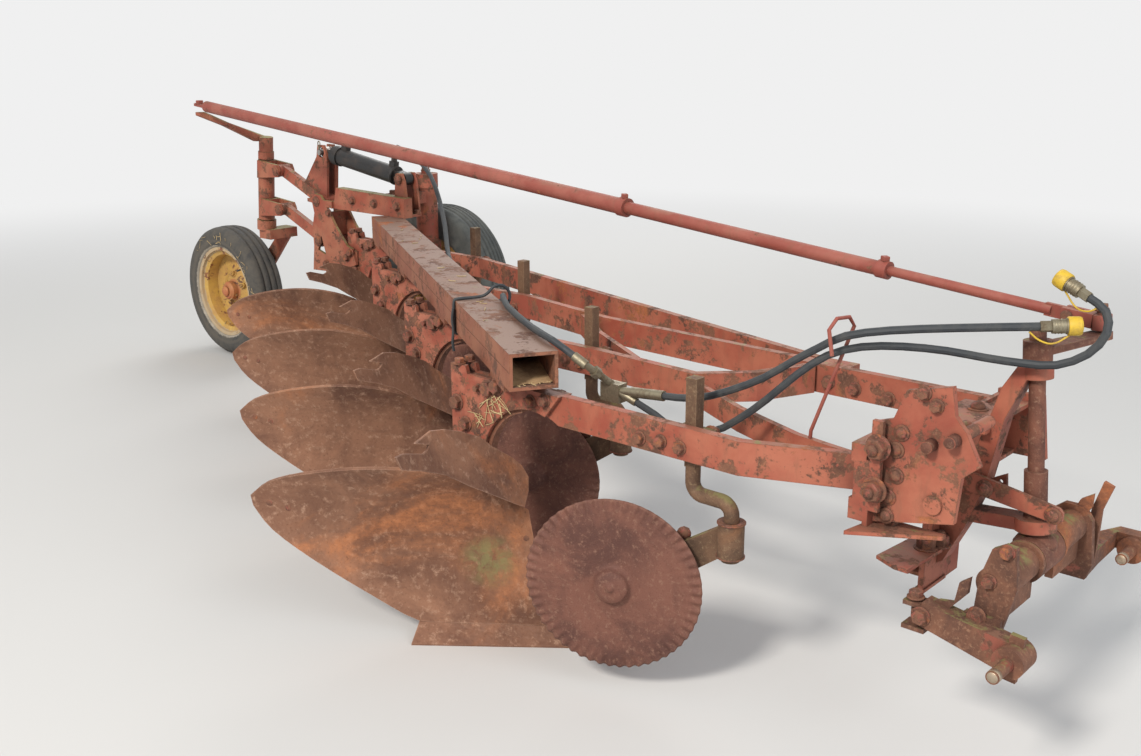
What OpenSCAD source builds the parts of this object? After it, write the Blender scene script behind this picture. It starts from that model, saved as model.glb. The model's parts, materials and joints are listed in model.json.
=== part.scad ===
// Four-furrow semi-mounted mouldboard plough, right-handed.
// Millimetres. +X is the direction of travel, +Y is the unploughed land side, +Z is up.
// Work frame: the first bottom's share heel stands at x = 0, y = 0, z = 0. place() moves the
// whole plough so that the origin lies under the middle of its bounding box.

/* [Bottoms] */
// Number of plough bottoms
bottoms = 4; // [2:1:5]
// Width that each bottom cuts
cut_w = 406; // [356:1:457]
// Distance along the travel from one bottom to the next
bottom_pitch = 665; // [640:5:760]
// Thickness of the mouldboard plate
mould_t = 9; // [6:1:12]
// Height of the share's rear edge over the ground
share_h = 44; // [30:1:60]
// Thickness of the curved leg
leg_t = 25; // [20:1:32]
// Thickness of the two cheek plates that hold a leg
cheek_t = 12; // [8:1:16]
// Length of a landside
landside_len = 420; // [300:10:560]
// Height of a landside
landside_h = 95; // [70:5:120]
// Thickness of a landside
landside_t = 14; // [8:1:20]
// Thickness of a trash board
trash_t = 7; // [5:1:10]

/* [Frame] */
// Height of the top of the four beams over the ground
beam_top = 700; // [640:5:760]
// Height of a beam's section
beam_h = 80; // [60:5:100]
// Thickness of a beam
beam_t = 25; // [20:1:32]
// Width of the diagonal box beam
box_w = 125; // [100:5:150]
// Height of the diagonal box beam
box_h = 95; // [80:5:125]
// Wall of the diagonal box beam
box_wall = 9; // [6:1:14]
// Gap between the beams and the box beam, filled by its pads
box_gap = 25; // [15:1:40]
// How far the box beam runs ahead of its crossing with the first bottom
box_over = 162; // [60:2:220]

/* [Coulters] */
// Diameter of a coulter disc
disc_d = 440; // [406:1:508]
// Thickness of a coulter disc
disc_t = 6; // [4:1:8]
// Side of a coulter's square post
post_sq = 30; // [25:1:38]
// Height of the top of a coulter post over the beam
post_over = 112; // [60:1:180]
// Distance from the share heel forward to a coulter's post
coulter_x = 444; // [400:2:500]
// Distance of a coulter's disc behind its post
coulter_trail = 220; // [180:2:260]

/* [Hitch] */
// Distance from the share heel of the first bottom forward to the hitch's cross shaft
hitch_x = 1125; // [1080:5:1250]
// Distance of the hitch's centre from the first landside, to the land side
hitch_y = 375; // [340:5:420]
// Height of the cross shaft
hitch_z = 462; // [400:1:520]
// Lean of the hitch post to the rear, in degrees
post_lean = 5; // [0:1:8]
// Diameter of the hitch post
post_d = 35; // [30:1:45]
// Diameter of the cross shaft
shaft_d = 76; // [60:2:90]
// Length of the cross shaft
shaft_len = 440; // [400:10:520]
// Distance between the two link pins' faces
pin_span = 746; // [700:2:825]
// Diameter of a link pin
pin_d = 28.4; // [22:0.1:36.6]
// Length of a link pin
pin_len = 72; // [50:1:120]
// Height of the cross shaft's axis over the link pins
link_drop = 122; // [100:2:180]

/* [Tail wheel] */
// Distance of the tail post behind the last bottom's heel
tail_back = 963; // [880:1:1000]
// Lean of the tail post to the rear at its foot, in degrees
tail_caster = 6; // [0:1:8]
// Outer diameter of the tail post tube
tail_tube_d = 76; // [60:2:90]
// Length of a link arm of the tail's parallelogram
tail_link = 322; // [280:1:340]
// Angle of those arms above the level, in degrees
tail_link_angle = 21; // [14:1:30]
// Vertical distance of the parallelogram's pivots
tail_link_gap = 180; // [160:5:200]
// Outer diameter of the tail tyre
tail_tyre_d = 650; // [600:10:700]
// Width of the tail tyre
tail_tyre_w = 165; // [130:5:200]
// Distance of the wheel's axle behind the tail post
tail_trail = 335; // [260:5:380]

/* [Land wheel] */
// Outer diameter of the land wheel's tyre
land_tyre_d = 720; // [660:10:760]
// Width of the land wheel's tyre
land_tyre_w = 165; // [130:5:200]
// Height of the land wheel's axle over the ground on which the shares stand
land_axle_z = 460; // [400:5:500]

/* [Fits] */
// Clearance of a turning pin in its bore, on the radius
pin_fit = 0.05; // [0.02:0.01:0.1]
// Gap between bolted or seated faces
seat_gap = 0.3; // [0.1:0.1:0.5]

/* [Hidden] */
$fn = 48;
diag = atan2(cut_w, -bottom_pitch);
box_dir = [cos(diag), sin(diag)];
box_side = [box_dir[1], -box_dir[0]];
beam_low = beam_top - beam_h;
box_z = beam_top + box_gap;
box_top = box_z + box_h;

// The box beam crosses the first cheeks here, along its own middle line
box_cross = [-105, 8];

// Driving points of the beams in plan, on their middle lines, and where each straight ends
bend_x = 592;
beam1_end = [840, 100];
front_bar_y = 690;
front_bar_x = 325;
beam2_bend = [185, cut_w - 22];
beam2_mid = [300, 500];
beam2_end = [372, 672];
beam3_mid = [-420, 735];

// Offset of a bottom from the first one
function heel(i) = [-bottom_pitch * i, cut_w * i, 0];

// A cylinder along Y, centred on its own middle
module along_y(r, h) rotate([90, 0, 0]) cylinder(r = r, h = h, center = true);
module along_x(r, h) rotate([0, 90, 0]) cylinder(r = r, h = h, center = true);

// Mitred outline of a bar of thickness t whose middle line runs through pts
function unit(v) = v / norm(v);
function side_of(v) = [-v[1], v[0]];
function miter(pts, k, d) =
    let (a = k > 0 ? unit(pts[k] - pts[k - 1]) : unit(pts[1] - pts[0]),
         b = k < len(pts) - 1 ? unit(pts[k + 1] - pts[k]) : a,
         n = unit(side_of(a) + side_of(b)))
    pts[k] + n * d / (n * side_of(a));
function bar_outline(pts, t) = concat(
    [for (k = [0 : len(pts) - 1]) miter(pts, k, t / 2)],
    [for (k = [len(pts) - 1 : -1 : 0]) miter(pts, k, -t / 2)]);
module flat_bar(pts, t, low, high) translate([0, 0, low])
    linear_extrude(high - low) polygon(bar_outline(pts, t));

// Plate in the X-Z plane between y0 and y1
module side_plate(y0, y1) translate([0, y1, 0]) rotate([90, 0, 0]) linear_extrude(y1 - y0) children();

// Where the last bottom's heel stands, and the plane of the tail gear
last = heel(bottoms - 1);
tail_y = last[1];
post_x = last[0] - tail_back;

// Runs of the four beams in plan. A beam starts behind the arch in its first cheeks
beam_back = -62;
straight_to = coulter_x + 60;
beam_pts = [
    [[beam_back, 0], [bend_x, 0], beam1_end],
    [[heel(1)[0] + beam_back, cut_w], [heel(1)[0] + straight_to, cut_w], beam2_bend, beam2_mid, beam2_end],
    [[heel(2)[0] + beam_back, cut_w * 2], [heel(2)[0] + straight_to, cut_w * 2], beam3_mid,
        [300, front_bar_y + beam_t + seat_gap], [470, front_bar_y + beam_t + seat_gap]],
    [[heel(3)[0] + beam_back, cut_w * 3], [heel(3)[0] + straight_to, cut_w * 3],
        [382, front_bar_y + 2 * (beam_t + seat_gap)], [470, front_bar_y + 2 * (beam_t + seat_gap)]]];

// Arch between beam, cheeks and leg: centre behind and over the heel, and radius
arch = [-30, 470];
arch_r = 172;

module main_beam() color("sienna") translate([box_cross[0], box_cross[1], 0]) rotate([0, 0, diag]) {
    difference() {
        translate([-box_over, -box_w / 2, box_z]) cube([box_over + box_rear, box_w, box_h]);
        translate([-box_over - 1, box_wall - box_w / 2, box_z + box_wall])
            cube([box_over + box_rear + 2, box_w - 2 * box_wall, box_h - 2 * box_wall]);
        for (s = [-1, 1]) translate([-box_over - 1, s * box_w / 2 - 1, box_z + box_h / 2 - 2])
            cube([box_over + box_rear + 2, 2, 4]);
    }
    for (i = [0 : bottoms - 1])
        translate([min(i * norm(heel(1)), box_rear - 78) - 75, 6 - box_w / 2, beam_top + seat_gap])
            cube([150, box_w - 12, box_gap - seat_gap + 1]);
}
box_rear = norm(heel(bottoms - 1)) - 62;

module beam(i) difference() {
    flat_bar(beam_pts[i], beam_t, beam_low, beam_top);
    translate([heel(i)[0] + arch[0], heel(i)[1], arch[1]]) along_y(arch_r, beam_t + 2);
}
module beam_1() color("indianred") beam(0);
module beam_2() color("indianred") difference() {
    beam(1);
    translate([300, front_bar_y - beam_t / 2 - seat_gap, beam_low - 1]) cube([150, 60, beam_h + 2]);
}
module beam_3() color("indianred") beam(2);
module beam_4() color("indianred") difference() {
    beam(3);
    translate([0, 0, beam_low + 28]) translate(beam_pts[3][2] + (beam_pts[3][1] - beam_pts[3][2]) * 0.263)
        rotate([0, 0, atan2(beam_pts[3][1][1] - beam_pts[3][2][1], beam_pts[3][1][0] - beam_pts[3][2][0])])
            cube([70, 60, 26], center = true);
}

// Where a tie starts on a beam's near face, from its foot on the beam's middle line and its next point
tie_t = 16;
tie_knee = [-319, cut_w + 180];
tie_foot_back = 93.7;
function seat_on(foot, u, start, next) = foot + [u[1], -u[0]] * (beam_t / 2 + seat_gap
    + tie_t / 2 * (unit(next - start) * u));
function tie_start() = let (u = unit(beam_pts[2][2] - beam_pts[2][1]),
    foot = beam_pts[2][2] - u * tie_foot_back)
    seat_on(foot, u, seat_on(foot, u, foot, tie_knee), tie_knee);

// Bars that tie the four beams together, plan points and levels
module braces() color("firebrick") {
    flat_bar([[front_bar_x, front_bar_y], [head_x[0] - seat_gap, front_bar_y]], beam_t, beam_low, beam_top);
    flat_bar([tie_start(), tie_knee, [-40, cut_w + 15]], tie_t, beam_low + 5, beam_top - 5);
    flat_bar([[198, cut_w - 34], [417, 255], [632, 170], [719, 152], [840.4, 131.6]], 16, beam_low,
        beam_low + 62);
}

// Cheeks: outline of a plate in X-Z
cheek_outline = [[-325, 450], [-325, 722], [-268, 722], [-262, beam_top], [68, beam_top], [20, 640],
    [-30, 560],
    [-150, 450]];
module cheeks() color("indianred") for (i = [0 : bottoms - 1], s = [-1, 1]) translate(heel(i))
    difference() {
        side_plate(s > 0 ? leg_t / 2 + seat_gap : -leg_t / 2 - seat_gap - cheek_t,
            s > 0 ? leg_t / 2 + seat_gap + cheek_t : -leg_t / 2 - seat_gap)
            polygon(cheek_outline);
        translate([arch[0], 0, arch[1]]) along_y(arch_r + 4, 100);
    }

// Mouldboard: sections from the shin to the wing. Foot x, y, z, head x, y, z, hollow
mould_sections = [
    [12, -1, share_h + 2, -60, -6, 362, -14],
    [-95, -80, share_h + 2, -107, -100, 428, 30],
    [-185, -150, share_h + 2, -148, -200, 484, 55],
    [-272, -215, share_h + 4, -223, -300, 514, 62],
    [-365, -300, 125, -321, -380, 513, 50],
    [-470, -400, 228, -451, -440, 485, 28],
    [-560, -462, 310, -560, -468, 445, 10],
    [-612, -482, 372, -618, -484, 400, 0]];
function blend4(a, b, c, d, t) = 0.5 * (2 * b + (c - a) * t + (2 * a - 5 * b + 4 * c - d) * t * t
    + (3 * b - a - 3 * c + d) * t * t * t);
function mould_row(u) = let (n = len(mould_sections) - 1, k = max(0, min(floor(u), n - 1)), t = u - k)
    blend4(mould_sections[max(k - 1, 0)], mould_sections[k], mould_sections[k + 1],
        mould_sections[min(k + 2, n)], t);
function mould_front(u, v) = let (r = mould_row(u), foot = [r[0], r[1], max(r[2], share_h + 2)],
    head = [r[3], r[4], r[5]])
    foot + (head - foot) * v + [-0.6, 0.65, 0] * r[6] * 4 * v * (1 - v);
function mould_normal(u, v) = let (e = 0.02, u1 = min(u + e, len(mould_sections) - 1), u0 = max(u - e, 0),
    n = cross(mould_front(u, v + e) - mould_front(u, v - e), mould_front(u1, v) - mould_front(u0, v)))
    unit([n[0], n[1], v <= 0.001 ? 0 : n[2]]);
function mould_at(u, v, depth) = mould_front(u, v) - mould_normal(u, v) * depth;

// Closed skin between two grids of points, na by nb
function skin_faces(na, nb) = let (w = nb + 1, m = (na + 1) * w) concat(
    [for (a = [0 : na - 1], b = [0 : nb - 1]) each [
        [a * w + b, (a + 1) * w + b, (a + 1) * w + b + 1], [a * w + b, (a + 1) * w + b + 1, a * w + b + 1]]],
    [for (a = [0 : na - 1], b = [0 : nb - 1]) each [
        [m + a * w + b, m + (a + 1) * w + b + 1, m + (a + 1) * w + b],
        [m + a * w + b, m + a * w + b + 1, m + (a + 1) * w + b + 1]]],
    [for (a = [0 : na - 1]) each [
        [a * w, m + a * w, m + (a + 1) * w], [a * w, m + (a + 1) * w, (a + 1) * w],
        [a * w + nb, (a + 1) * w + nb, m + (a + 1) * w + nb], [a * w + nb, m + (a + 1) * w + nb,
            m + a * w + nb]]],
    [for (b = [0 : nb - 1]) each [
        [b, b + 1, m + b + 1], [b, m + b + 1, m + b],
        [na * w + b, m + na * w + b, m + na * w + b + 1], [na * w + b, m + na * w + b + 1, na * w + b + 1]]]);

mould_na = 21;
mould_nb = 8;
module mouldboard() polyhedron(points = concat(
    [for (a = [0 : mould_na], b = [0 : mould_nb])
        mould_at(a * (len(mould_sections) - 1) / mould_na, b / mould_nb, 0)],
    [for (a = [0 : mould_na], b = [0 : mould_nb])
        mould_at(a * (len(mould_sections) - 1) / mould_na, b / mould_nb, mould_t)]),
    faces = skin_faces(mould_na, mould_nb));
module mouldboards() color("peru") for (i = [0 : bottoms - 1]) translate(heel(i)) mouldboard();

// Everything ahead of the mouldboard's back, less the seat gap; it trims the frog and its brace
module mould_clearance() polyhedron(points = concat(
    [for (a = [0 : mould_na], b = [-1 : mould_nb + 1])
        mould_at(a / 3, b / mould_nb, mould_t + 2 * seat_gap) + [420, -380, 0]],
    [for (a = [0 : mould_na], b = [-1 : mould_nb + 1]) mould_at(a / 3, b / mould_nb,
        mould_t + 2 * seat_gap)]),
    faces = skin_faces(mould_na, mould_nb + 2));

leg_outline = [[-315, beam_top - 4], [-72, beam_top - 4], [-72, 600], [-190, 400], [-110, 270], [-55, 150],
    [-30, 46], [-250, 46], [-250, 110], [-235, 210], [-290, 380], [-315, 480]];
module leg() difference() {
    union() {
        difference() {
            side_plate(-leg_t / 2, leg_t / 2) polygon(leg_outline);
            translate([arch[0], 0, arch[1]]) along_y(arch_r - 8, leg_t + 2);
        }
        translate([-250, -165, 46]) cube([238, 165 + leg_t / 2, 160]);
        translate([-250, -leg_t / 2, 300]) rotate([0, 0, 63]) translate([-430, -8, 0]) cube([430, 16, 40]);
    }
    mould_clearance();
    translate([-180, -96, 120]) cube([80, 56, 300]);
}
module legs() color("saddlebrown") for (i = [0 : bottoms - 1]) translate(heel(i)) leg();

// Share: section at the point and at the wing, in the order edge low, edge high, seam, ledge,
// ledge low, underside
share_point = [[96, 24, 0], [96, 24, 4], [16, 1, share_h + 1.7], [-12, 12, share_h + 1.7],
    [-12, 12, share_h - 16], [55, 11, 0]];
share_wing = [[-254, -262, 0], [-254, -262, 4], [-274, -214, share_h + 1.7], [-296, -183, share_h + 1.7],
    [-296, -183, share_h - 16], [-262, -243, 0]];
module shares() color("saddlebrown") for (i = [0 : bottoms - 1]) translate(heel(i)) polyhedron(
    points = concat(share_point, share_wing),
    faces = concat([[0, 1, 5], [1, 2, 5], [2, 4, 5], [2, 3, 4]], [[11, 7, 6], [11, 8, 7], [11, 10, 8],
        [10, 9, 8]],
        [for (k = [0 : 5]) let (n = (k + 1) % 6) each [[k, k + 6, n + 6], [k, n + 6, n]]]));

module landsides() color("saddlebrown") for (i = [0 : bottoms - 1]) translate(heel(i))
    side_plate(leg_t / 2 + seat_gap, leg_t / 2 + seat_gap + landside_t)
        polygon([[-12, 0], [-12, landside_h], [10 - landside_len, landside_h],
            [-10 - landside_len, landside_h - 20], [-10 - landside_len, 0]]);

// Trash board: outline in Y-Z, laid on a slanting plane
trash_outline = [[-37, 383], [5, 409], [27, 438], [15, 470], [-18, 501], [-90, 551], [-126, 583], [-193, 615],
    [-255, 638], [-312, 651], [-353, 647], [-387, 644], [-336, 627], [-349, 618], [-368, 615], [-440, 637],
    [-469, 638], [-463, 609], [-392, 584], [-309, 548], [-232, 497], [-160, 455], [-72, 402]];
module trash_boards() color("peru") for (i = [0 : bottoms - 1]) translate(heel(i)) {
    trash_stay();
    translate([-49, -30, 389]) multmatrix([[1, -0.316, -0.48, 0], [0, 1, 0, 0], [0, 0, 1, 0], [0, 0, 0, 1]])
        translate([-trash_t, 30, -389]) rotate([90, 0, 90]) linear_extrude(trash_t) polygon(trash_outline);
}
module trash_stay() side_plate(-leg_t / 2 - 2 * seat_gap - cheek_t - 8, -leg_t / 2 - 2 * seat_gap - cheek_t)
    polygon([[-300, 465], [-88, 465], [-105, 501], [-300, 501]]);

// Coulters. The post stands against the beam's land side; its neck reaches forward to the pivot
post_y = beam_t / 2 + seat_gap + post_sq / 2;
neck_r = 30;
neck_reach = 112;
pivot_x = coulter_x + neck_reach;
disc_clear = 72;
disc_z = disc_d / 2 + disc_clear;
neck_d = 36;
spindle_d = 28;
yoke_low = 402;
yoke_high = 486;
module quarter_bend(r, d) rotate_extrude(angle = 90, $fn = 48) translate([r, 0]) circle(d = d, $fn = 32);
module coulter_post() {
    translate([coulter_x - post_sq / 2, post_y - post_sq / 2, beam_low - 24])
        cube([post_sq, post_sq, beam_h + post_over + 24]);
    translate([coulter_x, post_y, 560]) cylinder(d = neck_d, h = beam_low - 30 - 560 + 20);
    translate([coulter_x + neck_r, post_y, 560]) rotate([90, 0, 0]) rotate([0, 0, 180]) quarter_bend(neck_r,
        neck_d);
    translate([(coulter_x + pivot_x) / 2, post_y, 560 - neck_r]) along_x(neck_d / 2, neck_reach - 2 * neck_r);
    translate([pivot_x - neck_r, post_y, 560 - 2 * neck_r]) rotate([90, 0, 0]) quarter_bend(neck_r, neck_d);
    translate([pivot_x, post_y, yoke_high + 2]) cylinder(d = neck_d, h = 560 - 2 * neck_r - yoke_high - 2);
    translate([pivot_x, post_y, yoke_low - 8]) cylinder(d = spindle_d, h = yoke_high - yoke_low + 20);
    translate([pivot_x, post_y, yoke_low - 12]) cylinder(d = 44, h = 10);
    // clamp over the post, bolted to the beam
    translate([coulter_x - 45, beam_t / 2 + seat_gap, beam_low + 12]) difference() {
        cube([90, post_sq + 12, beam_h - 24]);
        translate([45 - post_sq / 2 - 20, -1, -1]) cube([20 + post_sq / 2, post_sq + 1, beam_h]);
    }
}
module coulter_posts() color("olivedrab") for (i = [0 : bottoms - 1]) translate(heel(i)) coulter_post();

// Yoke and disc in a frame whose origin lies on the pivot's axis at the ground, arm towards -X
arm_len = coulter_trail + 62;
hub_y = 19;
yoke_rest = 25;
module at_coulter(i) translate(heel(i)) translate([pivot_x, post_y, 0]) rotate([0, 0, yoke_rest])
    children();
module coulter_yoke(i) color("darkolivegreen") at_coulter(i) difference() {
    union() {
        translate([0, 0, yoke_low]) cylinder(d = 62, h = yoke_high - yoke_low);
        side_plate(hub_y + 5, hub_y + 19) polygon([[8, yoke_high - 4], [8, yoke_low + 4], [-200, disc_z - 20],
            [-arm_len - 22, disc_z - 30], [-arm_len - 34, disc_z], [-arm_len - 20, disc_z + 34],
            [-arm_len + 25, disc_z + 44]]);
        translate([-arm_len, 0, disc_z]) translate([0, (hub_y + 19 - 14) / 2, 0]) along_y(12.5,
            hub_y + 19 + 14);
    }
    translate([0, 0, yoke_low - 1]) cylinder(d = spindle_d + 2 * pin_fit, h = yoke_high - yoke_low + 2);
}
module coulter_disc(i) color("sienna") at_coulter(i) translate([-arm_len, 0, disc_z]) rotate([90, 0, 0])
    rotate_extrude($fn = 72) polygon([[12.5 + pin_fit, -hub_y], [43, -hub_y], [43, -10], [60, -disc_t / 2],
        [disc_d / 2 - 22, -disc_t / 2], [disc_d / 2, -0.8], [disc_d / 2, 0.8],
        [disc_d / 2 - 22, disc_t / 2], [60, disc_t / 2], [43, 10], [38, 24], [0, 27],
        [0, 14 + 1], [12.5 + pin_fit, 14 + 1]]);
module coulter_yoke_1() coulter_yoke(0);
module coulter_yoke_2() coulter_yoke(1);
module coulter_yoke_3() coulter_yoke(2);
module coulter_yoke_4() coulter_yoke(3);
module coulter_disc_1() coulter_disc(0);
module coulter_disc_2() coulter_disc(1);
module coulter_disc_3() coulter_disc(2);
module coulter_disc_4() coulter_disc(3);

// Headstock. Its near plate stands over the first beam's end; the front bar ends on its far plate
head_x = [876, 888];
near_y = 64;
far_y = 706;
module headstock() color("indianred") {
    side_plate(near_y, near_y + 14) polygon([[head_x[0] + 4, 567], [1067, 609], [1075, 710], [1111, 742],
        [1077, 807], [1052, 835], [1042, 895], [945, 870], [920, 804], [head_x[0] + 4, 790]]);
    side_plate(far_y, far_y + 14) polygon([[head_x[0], 560], [head_x[0], 720], [990, 720], [1010, 562]]);
    // rear flange that takes the bracket of the first beam and the front bar
    translate([head_x[0], near_y - 24, 560]) cube([head_x[1] - head_x[0], far_y + 14 - near_y + 24, 150]);
    translate([head_x[0], hitch_y - 64, 700]) cube([head_x[1] - head_x[0], 204, 36]);
    // lateral members
    translate([head_x[1] - 2, near_y + 10, 562]) cube([44, far_y - near_y - 5, 10]);
    translate([head_x[1] - 2, near_y + 10, 690]) cube([74, far_y - near_y - 5, 10]);
    // plate over the mast's rear, cut out round it
    translate([0, 0, 727]) linear_extrude(9) difference() {
        polygon([[head_x[1] - 2, hitch_y - 64], [1015, hitch_y - 64], [1011, hitch_y + 45],
            [932, hitch_y + 140], [head_x[1] - 2, hitch_y + 140]]);
        translate([982, hitch_y - 36]) square([60, 62]);
    }
    // spare pins kept in the near plate, and its own pivot pin
    for (p = [[1008, 768], [1056, 788]]) translate([p[0], near_y + 66, p[1]]) along_y(13, 190);
    translate([1020, near_y + 7, 640]) along_y(20, 26);
    // bracket of the first beam's end
    difference() {
        translate([842, near_y - 24, 572]) cube([36, 110, 170]);
        translate([800, 40, beam_low - seat_gap]) cube([50, 120, beam_h + 2 * seat_gap]);
    }
    translate([head_x[1] - 2, near_y - 24, 600]) cube([24, 12, 200]);
    // plate under the near side, drawn out to the right
    translate([0, 0, 554]) linear_extrude(9) polygon([[862, -9], [1032, 96], [1032, 112], [880, 112]]);
}

// Mast: bent bar that carries the post's two bearings
module at_post() translate([hitch_x, hitch_y, hitch_z]) rotate([0, -post_lean, 0]) children();
saddle_r = 47;
low_ring = [saddle_r + 8, 30];
top_ring = [397, 30];
sleeve_d = 50;
mast_y = [hitch_y - 30, hitch_y + 20];
module mast() color("indianred") difference() {
    union() {
        side_plate(mast_y[0], mast_y[1]) polygon([[845, 334], [928, 394], [972, 487], [1008, 588],
            [1028, 694], [1040, 759], [1083, 865], [1083, 889], [1058, 884], [1027, 830], [1005, 752],
            [977, 668], [950, 599], [909, 469], [835, 366]]);
        // tab with a hole on its front
        side_plate(hitch_y - 5, hitch_y + 5) difference() {
            polygon([[1000, 600], [1023, 615], [1047, 628], [1050, 596], [1032, 586], [1000, 580]]);
            translate([1036, 608]) circle(r = 5);
        }
        at_post() translate([0, 0, top_ring[0]]) cylinder(d = post_d + 32, h = top_ring[1]);
        at_post() translate([0, 0, low_ring[0]]) {
            cylinder(d = sleeve_d + 40, h = low_ring[1]);
            translate([-150, -28, 0]) cube([150, 46, low_ring[1]]);
        }
        // hanger from the headstock's base plate, and the shelves at the foot
        translate([head_x[1] + 12, hitch_y - 90, 330]) cube([14, 180, 231.7]);
        translate([0, 0, 434]) linear_extrude(8) polygon([[849, 172], [863, hitch_y - 26],
            [925, hitch_y - 26],
            [944, 303], [938, 144], [906, 145]]);
        translate([head_x[1] + 6, hitch_y - 90, 330]) cube([24, 110, 8]);
        translate([842, hitch_y - 60, 352]) cube([62, 90, 8]);
    }
    at_post() translate([0, 0, -50]) cylinder(d = post_d + 2 * pin_fit, h = 700);
    at_post() cylinder(d = sleeve_d + 2 * pin_fit, h = 250);
    // space the saddle and the post turn in
    at_post() translate([0, 0, low_ring[0] + low_ring[1]]) cylinder(d = sleeve_d + 12, h = 160);
}

strap_y = mast_y[0] - seat_gap - 10;
module lock_strap() color("indianred") difference() {
    side_plate(strap_y, strap_y + 10) polygon([[955, 604], [975, 582], [1165, 557], [1188, 563], [1189, 582],
        [1180, 592], [985, 626], [960, 622]]);
    for (p = [[1015, 597], [1169, 573]]) translate([p[0], strap_y + 5, p[1]]) along_y(9, 30);
}

// Hitch post with its saddle on the cross shaft and the steering arm at the top
post_top = 508;
arm_low = 449;
arm_tip = [62, 200];
arm_pin_d = 20;
module hitch_post() color("sienna") at_post() difference() {
    union() {
        cylinder(d = post_d, h = post_top);
        cylinder(d = sleeve_d, h = 190);
        along_y(saddle_r, 110);
        translate([0, 0, arm_low - 14]) cylinder(d = post_d + 26, h = 44);
        translate([0, 0, arm_low]) linear_extrude(16) hull() {
            circle(r = 30);
            translate(arm_tip) circle(r = 24);
        }
        translate([arm_tip[0], arm_tip[1], arm_low]) cylinder(d = arm_pin_d, h = 64);
    }
    along_y(shaft_d / 2 + pin_fit, 120);
}

// Cross shaft, its end plates, link arms and pins. The pins point to the right side of the plough
link_x = 75;
near_pin_y = hitch_y - pin_span / 2;
far_pin_y = hitch_y + pin_span / 2;
module cross_shaft() color("firebrick") translate([hitch_x, hitch_y, hitch_z]) {
    along_y(shaft_d / 2, shaft_len);
    for (s = [-1, 1]) translate([0, s * 64, 0]) along_y(shaft_d / 2 + 9, 12);
    // web under the shaft, left open round the post's saddle
    for (y = [[-shaft_len / 2, -60], [64, shaft_len / 2]]) translate([4, y[0], -79]) cube([18, y[1] - y[0],
        70]);
    translate([0, -hitch_y, 0]) {
        // near side: upright end plate, bar, hub and pin
        y0 = hitch_y - shaft_len / 2;
        side_plate(y0 - 6, y0 + 8) polygon([[20, 98], [-7, 81], [-29, 10], [-38, -104], [24, -110], [52, 4],
            [43, 95]]);
        side_plate(near_pin_y + 94, y0 - 15) polygon([[-136, -112], [-125, -58], [link_x, 33 - link_drop],
            [link_x - 34, -link_drop - 31]]);
        translate([-50, y0 - 20, -104]) cube([80, 18, 36]);
        translate([link_x, near_pin_y + pin_len + 34, -link_drop]) along_y(34, 68);
        translate([link_x, near_pin_y + pin_len + 34, -link_drop]) rotate([0, 6, 0])
            cube([30, 14, 104], center = true);
        translate([link_x, near_pin_y + pin_len / 2 + 20, -link_drop]) along_y(pin_d / 2, pin_len + 40);
        // ears at the bar's rear end, their bolt, and the curved clip over the bar
        for (z = [-132, -76]) translate([-170, near_pin_y + 96, z]) cube([52, 40, 10]);
        translate([-150, near_pin_y + 116, -134]) cylinder(d = 16, h = 72);
        side_plate(near_pin_y + 118, near_pin_y + 130) polygon([[-117, -90], [-119, -64], [-100, -54],
            [-66, -48], [-58, 0], [-36, 17], [-39, -21], [-87, -80]]);
        // far side: ring, upright plate, arm out to the hub, pin pointing back in
        y1 = hitch_y + shaft_len / 2;
        side_plate(y1 - 8, y1 + 10) polygon([[-45, 30], [-20, 50], [25, 50], [47, 20], [58, -90],
            [45, -127], [-45, -127]]);
        translate([0, 0, -link_drop - 5]) linear_extrude(43) polygon([[-50, y1 - 8], [45, y1 - 8],
            [38, 700], [36, 824],
            [link_x + 20, 826], [link_x + 34, 838], [link_x + 34, far_pin_y + pin_len + 46],
            [link_x - 44, far_pin_y + pin_len + 46], [-50, y1 + 90]]);
        translate([link_x, far_pin_y + pin_len + 20, -link_drop]) along_y(34, 44);
        translate([link_x, far_pin_y + pin_len / 2 + 22, -link_drop]) along_y(pin_d / 2, pin_len + 44);
        // fork of two tabs over the arm
        side_plate(y1 - 4, y1 + 8) polygon([[-11, 9], [-4, 24], [15, 66], [42, 84], [41, 51], [17, 7]]);
        side_plate(y1 + 38, y1 + 50) polygon([[10, -link_drop + 20], [29, 35], [49, 105], [72, 96], [52, 34],
            [48, -link_drop + 20]]);
    }
}

// Steering rod from the arm at the hitch post to the arm at the tail post
rod_front = [hitch_x + arm_tip[0] * cos(post_lean) - (arm_low + 38) * sin(post_lean), hitch_y + arm_tip[1],
    hitch_z + (arm_low + 38) * cos(post_lean) + arm_tip[0] * sin(post_lean)];
rod_rear = [post_x - 72, tail_y - 276, 1262];
rod_run = rod_rear - rod_front;
rod_len = norm(rod_run);
rod_yaw = atan2(rod_run[1], rod_run[0]);
rod_pitch = asin(rod_run[2] / rod_len);
rod_steps = [[114, 25], [560, 38], [1480, 50]];
fork_pin_x = 70;
fork_pin_d = 16;
module at_rod() translate(rod_front) rotate([0, 0, rod_yaw]) rotate([0, -rod_pitch, 0]) children();

// Fork that swings on the steering arm's pin and carries the rod's front end
module rod_fork() color("firebrick") {
    difference() {
        union() {
            translate(rod_front) rotate([0, -post_lean, 0]) cylinder(d = 44, h = 34, center = true);
            at_rod() translate([14, -20, -16]) cube([fork_pin_x + 2, 40, 32]);
        }
        translate(rod_front) rotate([0, -post_lean, 0]) cylinder(d = arm_pin_d + 2 * pin_fit, h = 80,
            center = true);
        at_rod() translate([fork_pin_x - 26, -8, -30]) cube([80, 16, 60]);
    }
    at_rod() translate([fork_pin_x, 0, 0]) along_y(fork_pin_d / 2, 46);
}

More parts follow.
